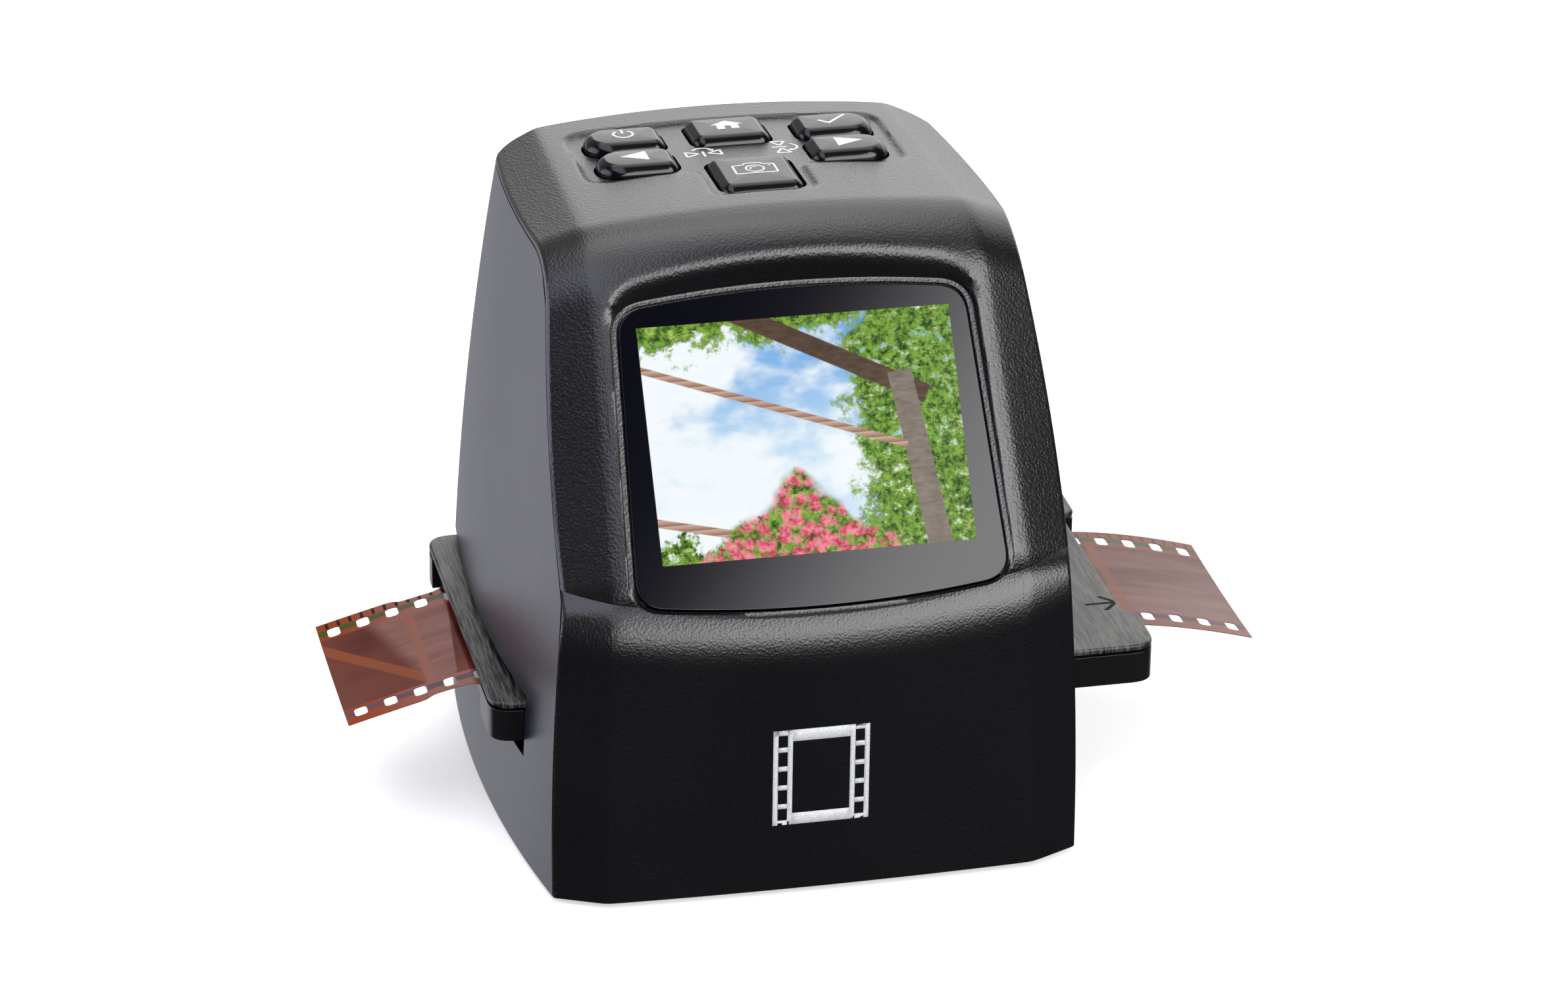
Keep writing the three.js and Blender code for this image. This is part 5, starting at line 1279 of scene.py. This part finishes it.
def front_lift(x0, z0):
    """Places on the front, measured along it"""
    def lift(x, y, height):
        point = skin_point(x + x0, y + z0, sunk=False)
        near = skin_point(x + x0, y + z0 + PROBE, sunk=False) - point
        out = np.stack([0 * x, -near[:, 2], near[:, 1]], -1)
        return point + out / np.linalg.norm(out, axis=1, keepdims=True) * height
    return lift


def draw_film_frame(sign):
    """Light frame of film: two rows of holes and a bare middle, in cells that follow the front's curve"""
    half, tall, hole, bridge, margin, cell = 7.6, 8.0, 1.5, 0.78, 1.9, 1.2
    cells = []
    rows = [-tall + 2 * tall * k / 5 for k in range(6)]
    for side in (-1, 1):
        near, far = sorted((side * (half - hole - 2 * bridge), side * half))
        inner_low, inner_high = near + bridge, far - bridge
        cells.append((near, inner_low, -tall, tall))
        cells.append((inner_high, far, -tall, tall))
        for low in rows:
            low = min(max(low - bridge / 2, -tall), tall - bridge)
            cells.append((inner_low, inner_high, low, low + bridge))
    middle = half - hole - 2 * bridge
    cells.append((-middle, middle, tall - margin, tall))
    cells.append((-middle, middle, -tall, -tall + margin))
    for x0, x1, y0, y1 in cells:
        wide = max(1, round((x1 - x0) / cell))
        high = max(1, round((y1 - y0) / cell))
        for i in range(wide):
            for j in range(high):
                a, b = mix(x0, x1, i / wide), mix(x0, x1, (i + 1) / wide)
                c, d = mix(y0, y1, j / high), mix(y0, y1, (j + 1) / high)
                corners = [(a, c), (b, c), (b, d), (a, d)]
                top = sign.sheet.add(sign.level(corners, PRINT_TOP))
                sign.sheet.faces.append(list(top))


# Looks of the parts

ARROW_X, ARROW_Y = 54.0, -8.5
FRAME_PITCH, FRAME_START, TICK_PITCH, TICK_START = 38.0, 206, 1.9, 300


def look_of_film():
    """Developed negative: two pictures, a bare margin with stripes, and fine ticks along the rear edge"""
    look = Look("developed_film", IOR=1.5, Specular_IOR_Level=0.06)
    place = look.place()
    x, y, _ = look.axes(place)
    row = y - (TRAY_MIDDLE - FILM_WIDTH / 2)
    left = 1 - x.band(-20, 20)
    smear = look.noise(look.stretched(place, (0.0084, 0.144, 0.108)), 1.0, 5.0, 0.65)
    wide = look.noise(look.stretched(place, (0.0126, 0.0324, 0.036)), 1.0, 2.0, 0.5)
    blot = look.noise(look.stretched(place, (0.0336, 0.036, 0.036)), 1.0, 2.0, 0.5)
    # Left end: a dark frame with a slanting bar over it, paler towards the tray
    slant = 1 - abs(row - 3.5 + (x + 66) * 1.45 - 20 + blot * 2).band(1.6, 2.1)
    dim = look.blend((blot + smear * 0.4).band(0.5, 0.8),
                     (0.0315, 0.00504, 0.0036), (0.0714, 0.0198, 0.0126))
    dim = look.blend(slant * 0.85, dim, (0.126, 0.0342, 0.0126))
    pale = look.blend(smear.band(0.35, 0.7), (0.101, 0.0432, 0.0342), (0.139, 0.0684, 0.0558))
    near = (x + row * 0.25).band(-55, -51.5)
    first = look.blend(near, dim, pale)
    shade = (blot * 0.8 + wide * 0.5 + smear * 0.3).band(0.55, 1.05)
    hidden = look.blend(shade, (0.028, 0.0032, 0.0018), (0.115, 0.024, 0.012))
    first = look.blend((x - row * 0.1).band(-51.4, -51.0), first, hidden)
    # Right end: paler, with streaks along the strip
    streaks = (smear * 0.7 + wide * 0.5).band(0.42, 0.78)
    second = look.blend(streaks, (0.063, 0.0306, 0.027), (0.126, 0.072, 0.063))
    image = look.blend(left, second, first)
    margin = look.blend(left, look.blend(smear, (0.101, 0.0396, 0.0288), (0.126, 0.0576, 0.0468)),
                        look.blend(x.band(-67, -50), (0.126, 0.0216, 0.00504), (0.143, 0.0612, 0.0468)))
    in_image = row.band(5.2, 5.5) * (1 - row.band(29.4, 29.7))
    frame_gap = ((x + FRAME_START) / FRAME_PITCH).fraction()
    in_image = in_image * (1 - frame_gap.band(0.955, 0.965))
    body = look.blend(in_image, margin, image)
    front_stripe = row.band(2.6, 2.9) * (1 - row.band(4.2, 4.6))
    rear_stripe = row.band(31.0, 31.3) * (1 - row.band(32.6, 32.9))
    body = look.blend(front_stripe * 0.8, body, (0.042, 0.0306, 0.0432))
    greenish = look.blend(x.band(-66, -48), (0.0147, 0.0396, 0.0036), (0.0378, 0.054, 0.0288))
    body = look.blend(rear_stripe * 0.85, body, greenish)
    tick = ((x + TICK_START) / TICK_PITCH).fraction()
    ticks = tick.band(0.36, 0.4) * (1 - tick.band(0.62, 0.66)) * row.band(32.95, 33.05)
    ticks = ticks * (1 - row.band(34.75, 34.85)) * (0.4 + 0.6 * left)
    look.set(Base_Color=look.blend(ticks, body, (0.0084, 0.00288, 0.0018)))
    look.set(Roughness=0.2 + 0.1 * smear)
    look.set(Normal=look.bump(wide * 0.4 + smear * 0.1, 0.25))
    return look.material


def look_of_glass():
    """Black print with a clear middle that the picture shines through"""
    look = Look("window_print", IOR=1.5, Specular_IOR_Level=0.0, Coat_Roughness=0.06, Emission_Strength=1.0)
    place = look.place()
    x, _, _ = look.axes(place)
    sin, cos = math.sin(WINDOW_TILT), math.cos(WINDOW_TILT)
    zero = (WINDOW_SETBACK - DEPTH / 2) * sin + WINDOW_HEIGHT * cos
    y = look.along(place, (0, sin, cos)) - zero
    half, soft = PICTURE_WIDTH / 2, 0.06
    within = (1 - abs(x).band(half - soft, half + soft)) * y.band(-soft, soft)
    within = within * (1 - y.band(PICTURE_HEIGHT - soft, PICTURE_HEIGHT + soft))
    look.set(Base_Color=look.blend(within, (0.0012, 0.0012, 0.003), (0.002, 0.002, 0.002)))
    look.set(Emission_Color=look.blend(within, (0, 0, 0), picture_on_screen(look, place, x + half, y)))
    look.set(Coat_Weight=0.6 - 0.53 * within)
    smudge = look.noise(place, 0.08, 3.0)
    look.set(Roughness=0.05 + 0.05 * smudge)
    return look.material


def bar(x, y, start, end, half):
    """Mask of a straight bar, in millimetres of the picture"""
    dx, dy = end[0] - start[0], end[1] - start[1]
    length = math.hypot(dx, dy)
    dx, dy = dx / length, dy / length
    off = abs((x - start[0]) * dy - (y - start[1]) * dx)
    along = (x - start[0]) * dx + (y - start[1]) * dy
    edge, tip = 0.12, 0.3
    mask = (1 - off.band(half - edge, half + edge)) * along.band(-tip, tip)
    return mask * (1 - along.band(length - tip, length + tip))


def picture_on_screen(look, place, x, y):
    """A plain garden: sky, leaves, wooden beams, rails and blossom; x and y from the lower left"""
    clouds = look.noise(look.stretched(place, (0.06, 0.09, 0.11)), 1.0, 4.0, 0.55)
    high = y.band(8, 36)
    sky = look.blend(high, (0.62, 0.80, 0.93), (0.17, 0.42, 0.80))
    billow = (clouds + 0.16 * (1 - x.band(6, 26))).band(0.44, 0.62)
    picture = look.blend(billow, sky, (0.90, 0.95, 0.98))
    fronds = look.noise(look.stretched(place, (0.55, 1.3, 0.25)), 1.0, 5.0, 0.7)
    tufts = look.noise(place, 0.9, 5.0, 0.75)
    shade = look.blend(tufts.band(0.36, 0.62), (0.012, 0.05, 0.008), (0.22, 0.42, 0.05))
    lit = look.blend(fronds.band(0.52, 0.7), shade, (0.48, 0.62, 0.16))
    wander = (look.noise(place, 0.22, 3.0) - 0.5) * 16 + (tufts - 0.5) * 14
    right = (x + wander).band(31, 34)
    crown = (y + wander * 0.8 - 0.04 * x).band(31.5, 33.5)
    low = 1 - (y + wander * 0.9).band(2.2, 4.4)
    leaves = right.most(crown).most(low)
    holes = (fronds * 0.5 + tufts * 0.5).band(0.56, 0.6) * 0.75
    picture = look.blend(leaves * (1 - holes * right), picture, lit)
    grain = look.noise(look.stretched(place, (0.5, 2.5, 0.6)), 1.0, 3.0)
    wood = look.blend(grain, (0.035, 0.02, 0.014), (0.16, 0.10, 0.07))
    post = look.blend(grain, (0.10, 0.08, 0.07), (0.36, 0.30, 0.25))
    rail = look.blend(y.fraction(), (0.30, 0.14, 0.10), (0.62, 0.44, 0.34))
    picture = look.blend(bar(x, y, (15, 38), (44, 23), 1.5), picture, wood)
    picture = look.blend(bar(x, y, (40, 27), (43.5, -1), 1.9), picture, post)
    picture = look.blend(bar(x, y, (-1, 30.5), (40, 15.5), 0.55), picture, rail)
    picture = look.blend(bar(x, y, (-1, 6.8), (24, 1), 0.65), picture, rail)
    petals = look.cells(place, 0.62)
    bush = (look.noise(place, 0.16, 2.0) - 0.5) * 9
    heap = 1 - (abs(x - 22) * 0.75 + y + bush).band(11.5, 13.5)
    rosy = look.blend(tufts.band(0.35, 0.65), (0.55, 0.03, 0.08), (0.92, 0.30, 0.36))
    blossom = look.blend(1 - petals.band(0.35, 0.75), lit, rosy)
    return look.blend(heap, picture, blossom)


def look_of_print():
    """Light print with a faint speckle"""
    look = Look("light_print", IOR=1.5)
    place = look.place()
    speckle = look.noise(place, 3.0, 2.0)
    look.set(Base_Color=look.blend(speckle.band(0.35, 0.65), (0.31, 0.32, 0.32), (0.38, 0.39, 0.39)))
    look.set(Roughness=0.4 + 0.1 * speckle)
    look.set(Normal=look.bump(speckle, 0.01, 0.5))
    return look.material


def look_of_tray_cover():
    """Dark grey plastic drawn with fine streaks: the ribs are in the bump and roughness, and the grey along
    them in the colour is painted sheen; a plain arrow sunk into its right end is painted near black as the
    shade in its groove
    """
    look = Look("tray_plastic_painted_sheen_and_shade", IOR=1.5, Specular_IOR_Level=0.36)
    place = look.place()
    streak = look.noise(look.stretched(place, (3.2, 0.16, 0.4)), 1.0, 4.0, 0.7)
    broad_patches = look.noise(place, 0.12, 3.0)
    tone = (streak * 0.85 + broad_patches * 0.25).band(0.46, 0.64)
    x, y, _ = look.axes(place)
    u, v = x - ARROW_X, y - ARROW_Y
    shaft = (1 - abs(v).band(0.28, 0.42)) * u.band(-3.2, -3.0) * (1 - u.band(1.6, 1.8))
    head = (1 - abs(u + abs(v) * 0.9 - 2.0).band(0.35, 0.5)) * (1 - abs(v).band(2.4, 2.6))
    arrow = shaft.most(head)
    # Colour from near black to grey along the streaks and broad patches: painted sheen of the ribbed face
    body = look.blend(tone, (0.002, 0.002, 0.002), (0.05, 0.05, 0.045))
    # The sunk arrow is painted near black as the shade in its groove
    look.set(Base_Color=look.blend(arrow, body, (0.001, 0.001, 0.001)))
    look.set(Roughness=(0.24 + 0.3 * streak).most(arrow * 0.9))
    look.set(Normal=look.bump(streak * 0.06 - arrow * 0.3, 1.0))
    return look.material


def metal(name, colour, rough, way=(0.3, 6.0, 6.0)):
    """Drawn metal with fine lines and a few dull patches"""
    look = Look(name, Metallic=1.0)
    place = look.place()
    lines = look.noise(look.stretched(place, way), 1.0, 4.0, 0.6)
    dull = look.noise(place, 0.3, 3.0)
    look.set(Base_Color=look.blend(dull.band(0.3, 0.7), tuple(c * 0.8 for c in colour), colour))
    look.set(Roughness=rough + 0.15 * (lines - 0.5) + 0.12 * (dull - 0.5))
    look.set(Normal=look.bump(lines, 0.008))
    return look.material


def look_of_board():
    """Green circuit board with thin tracks, pale pads and a weave under the lacquer"""
    look = Look("green_circuit_board", IOR=1.5, Coat_Weight=0.3, Coat_Roughness=0.15)
    place = look.place()
    x, y, _ = look.axes(place)
    patch = look.noise(place, 0.09, 1.0)
    across, down = (1 - abs((axis / 0.8).fraction() - 0.5).band(0.13, 0.17) for axis in (x, y))
    tracks = (across * patch.band(0.52, 0.54)).most(down * (1 - patch.band(0.44, 0.46)))
    dots = look.cells(place, 0.32)
    pads = 1 - dots.band(0.16, 0.2)
    weave = (x * 12).sine() * (y * 12).sine()
    body = look.blend(weave.band(-0.6, 0.6), (0.012, 0.085, 0.028), (0.017, 0.11, 0.038))
    body = look.blend(tracks, body, (0.035, 0.19, 0.07))
    look.set(Base_Color=look.blend(pads, body, (0.62, 0.60, 0.52)))
    look.set(Roughness=0.32 + 0.1 * patch - 0.1 * pads)
    look.set(Normal=look.bump(tracks * 0.03 + pads * 0.04 + weave * 0.004, 1.0))
    return look.material


def look_of_clear(name, colour, rough):
    """Moulded clear or milky piece with faint flow lines"""
    look = Look(name, IOR=1.5, Coat_Weight=0.3, Coat_Roughness=0.05)
    place = look.place()
    flow = look.noise(look.stretched(place, (0.1, 0.4, 0.4)), 1.0, 3.0)
    look.set(Base_Color=look.blend(flow.band(0.3, 0.7), tuple(c * 0.9 for c in colour), colour))
    look.set(Roughness=rough + 0.08 * flow)
    look.set(Normal=look.bump(flow, 0.01))
    return look.material


def dress_inner_pieces(under):
    """A look for every CAD node that no piece of the scene replaces"""
    steel = metal("drawn_steel", (0.56, 0.57, 0.58), 0.32)
    barrel = metal("dark_anodised_metal", (0.03, 0.03, 0.034), 0.35, (6.0, 6.0, 0.3))
    board = look_of_board()
    rubber = plastic("foot_rubber", (0.012, 0.012, 0.012),
                     rough=0.75, grain=0.5, relief=0.05, variation=0.2)
    moulded = plastic("matt_switch_plastic", (0.012, 0.012, 0.013), rough=0.5, grain=0.2, relief=0.01)
    chip = plastic("chip_resin", (0.014, 0.014, 0.015),
                   rough=0.55, grain=0.12, relief=0.008, variation=0.15)
    white = plastic("white_light_box_plastic", (0.78, 0.78, 0.76),
                    rough=0.5, grain=0.3, relief=0.01, variation=0.04)
    milky = look_of_clear("milky_diffuser", (0.85, 0.86, 0.86), 0.4)
    lens = look_of_clear("coated_lens_glass", (0.05, 0.06, 0.10), 0.05)
    cell = look_of_clear("dark_display_cell", (0.02, 0.022, 0.03), 0.12)
    looks = (
        (("base_plate", "tray_guide", "light_tunnel", "lens_holder"), under),
        (("rubber_foot",), rubber),
        (("lens_barrel",), barrel),
        (("lens_glass",), lens),
        (("lcd_cell",), cell),
        (("lcd_backlight", "light_box"), white),
        (("diffuser",), milky),
        (("base_screw", "key_board_screw", "main_board_screw", "lcd_screw", "lcd_bracket",
          "tunnel_screw", "tray_hinge_pin", "card_socket", "usb_socket"), steel),
        (("key_board", "main_board", "sensor_board", "led_board"), board),
        (("processor_chip", "image_sensor"), chip),
        (tuple(name + "_switch" for name in KEYS), moulded),
    )
    for name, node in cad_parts.items():
        for starts, look in looks:
            if name.startswith(starts):
                node.data.materials[0] = look
                break


TURNING_SIGNS = (("mirror_sign", (-5.6, 64.6), 0), ("flip_sign", (7.2, 64.9), -math.pi / 2))
TURNING_SCALE = 1.06
FRAME_SIGN_X, FRAME_SIGN_RUN, FRAME_SIGN_THICK = -0.5, 19, 0.08


def add_signs(light_print):
    """A sign on each key, two between the keys and one on the front"""
    draws = {
        "power": (draw_power, 0.95), "confirm": (draw_tick, 1.2), "home": (draw_house, 1.02),
        "capture": (draw_camera, 1.1), "back": (lambda sign: draw_triangle(sign, -1), 1.28),
        "forward": (lambda sign: draw_triangle(sign, 1), 1.28),
    }
    for name, (draw, scale) in draws.items():
        sign = Sign(key_lift(name), scale)
        draw(sign)
        finish_piece(sign.make(name + "_sign"), name + "_key", light_print)
    for name, place, angle in TURNING_SIGNS:
        sign = Sign(panel_lift(*place), TURNING_SCALE)
        draw_turning(sign, angle)
        finish_piece(sign.make(name), "scanner", light_print)
    sign = Sign(front_lift(FRAME_SIGN_X, FRAME_SIGN_RUN))
    draw_film_frame(sign)
    finish_piece(thicken(sign.make("film_frame_sign"), FRAME_SIGN_THICK), "scanner", light_print)


def build():
    """Every piece of the scene, with its look, its body and the nodes that it replaces"""
    grained = plastic("grained_front_plastic", (0.003, 0.003, 0.0036),
                      rough=0.27, grain=0.36, relief=0.065, form=lip_form)
    smooth = plastic("smooth_side_plastic", (0.0065, 0.0065, 0.0105), rough=0.32, grain=0.3, relief=0.022)
    under = plastic("grained_underside_plastic", (0.01, 0.01, 0.011), rough=0.55, grain=0.4, relief=0.02)
    polished = plastic("polished_key_plastic", (0.002, 0.002, 0.0024),
                       rough=0.15, grain=0.5, relief=0.002, gloss=0.33)
    tray_black = plastic("tray_base_plastic", (0.004, 0.004, 0.0045), rough=0.22, grain=0.3, relief=0.006)
    light_print = look_of_print()

    finish_piece(make_front_cover(), "scanner", grained, ("front_cover",))
    finish_piece(make_rear_housing(), "scanner", smooth, ("rear_housing",))
    finish_piece(make_glass(), "scanner", look_of_glass(), ("screen_window",))
    for name in KEYS:
        finish_piece(make_key(name), name + "_key", polished, (name + "_button",))
    add_signs(light_print)
    finish_piece(make_tray_base(), "tray", tray_black, ("tray_base",))
    finish_piece(make_tray_cover(), "tray", look_of_tray_cover(), ("tray_cover",))
    film = finish_piece(make_film(), "film", look_of_film(), ("film_strip",))
    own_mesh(film)
    dress_inner_pieces(under)


FLOOR_SIZE, FLOOR_HEIGHT = 8, -0.001
LAMP_PLACE, LAMP_SIZE, LAMP_POWER = (-0.1, 0.1, 1.1), 1.4, 14


def set_floor():
    bpy.ops.mesh.primitive_plane_add(size=FLOOR_SIZE, location=(0, 0, FLOOR_HEIGHT))
    floor = bpy.context.object
    floor.name = "floor"
    look = Look("pale_floor", Base_Color=(0.5, 0.5, 0.5), Roughness=0.8,
                Emission_Color=(1, 1, 1), Emission_Strength=0.5)
    floor.data.materials.append(look.material)
    floor.visible_glossy = False


def set_surroundings():
    """Soft panels of light behind, overhead, at both sides and on the front right, by direction"""
    world = bpy.data.worlds.new("studio")
    bpy.context.scene.world = world
    air = Look("studio", owner=world, shader="Background", Strength=1.0)
    x, y, z = air.axes(air.node("ShaderNodeTexCoord", {}, out="Generated"))
    back = y.band(0.15, 0.65) * z.band(-0.06, 0.02) * (0.35 + x.band(-0.16, 0.08) * 1.7)
    low_left = (-x).band(0.33, 0.45) * z.band(-0.49, -0.44)
    floor_back = y.band(0.3, 0.7) * (1 - z.band(-0.05, 0.02)) * (0.6 + low_left * 0.7)
    above = z.band(0.78, 0.9) * (0.1 + y.band(-0.16, 0.02) * 1.9 + y.band(0.0, 0.45) * 1.2)
    high_left = (z + x * 0.4).band(0.46, 0.56) * (1 - x.band(-0.08, 0.1)) * (-y).band(-0.2, 0.1) * 2.6
    front = (x - z).band(-0.475, -0.415) * (-y).band(0.36, 0.52) * z.band(0.1, 0.3)
    front = front * (1 - x.band(0.73, 0.79)) * 8.5
    right = x.band(0.5, 0.7) * y.band(0.2, 0.4) * z.band(0.2, 0.5) * 1.7
    left = (-x).band(0.76, 0.9) * z.band(-0.3, 0.0) * (y + 0.5).band(0.0, 0.3) * 3.0
    level = 0.02 + (back + floor_back + above).most(high_left).most(right).most(left) + front
    cool = floor_back * 0.12 + high_left * 0.2 + left * 0.3
    air.set(Color=air.node("ShaderNodeCombineXYZ", {}, level, level, level + cool))


def hang_lamp():
    """Soft lamp overhead, turned to the object"""
    data = bpy.data.lights.new("overhead", "AREA")
    data.size, data.energy = LAMP_SIZE, LAMP_POWER
    lamp = bpy.data.objects.new("overhead", data)
    bpy.context.scene.collection.objects.link(lamp)
    lamp.location = LAMP_PLACE
    lamp.visible_glossy = False
    lamp.rotation_euler = (-Vector(LAMP_PLACE)).to_track_quat("-Z", "Y").to_euler()


bpy.context.scene.view_settings.view_transform = "Standard"
place_camera()
build()
set_floor()
set_surroundings()
hang_lamp()
bpy.context.view_layer.update()
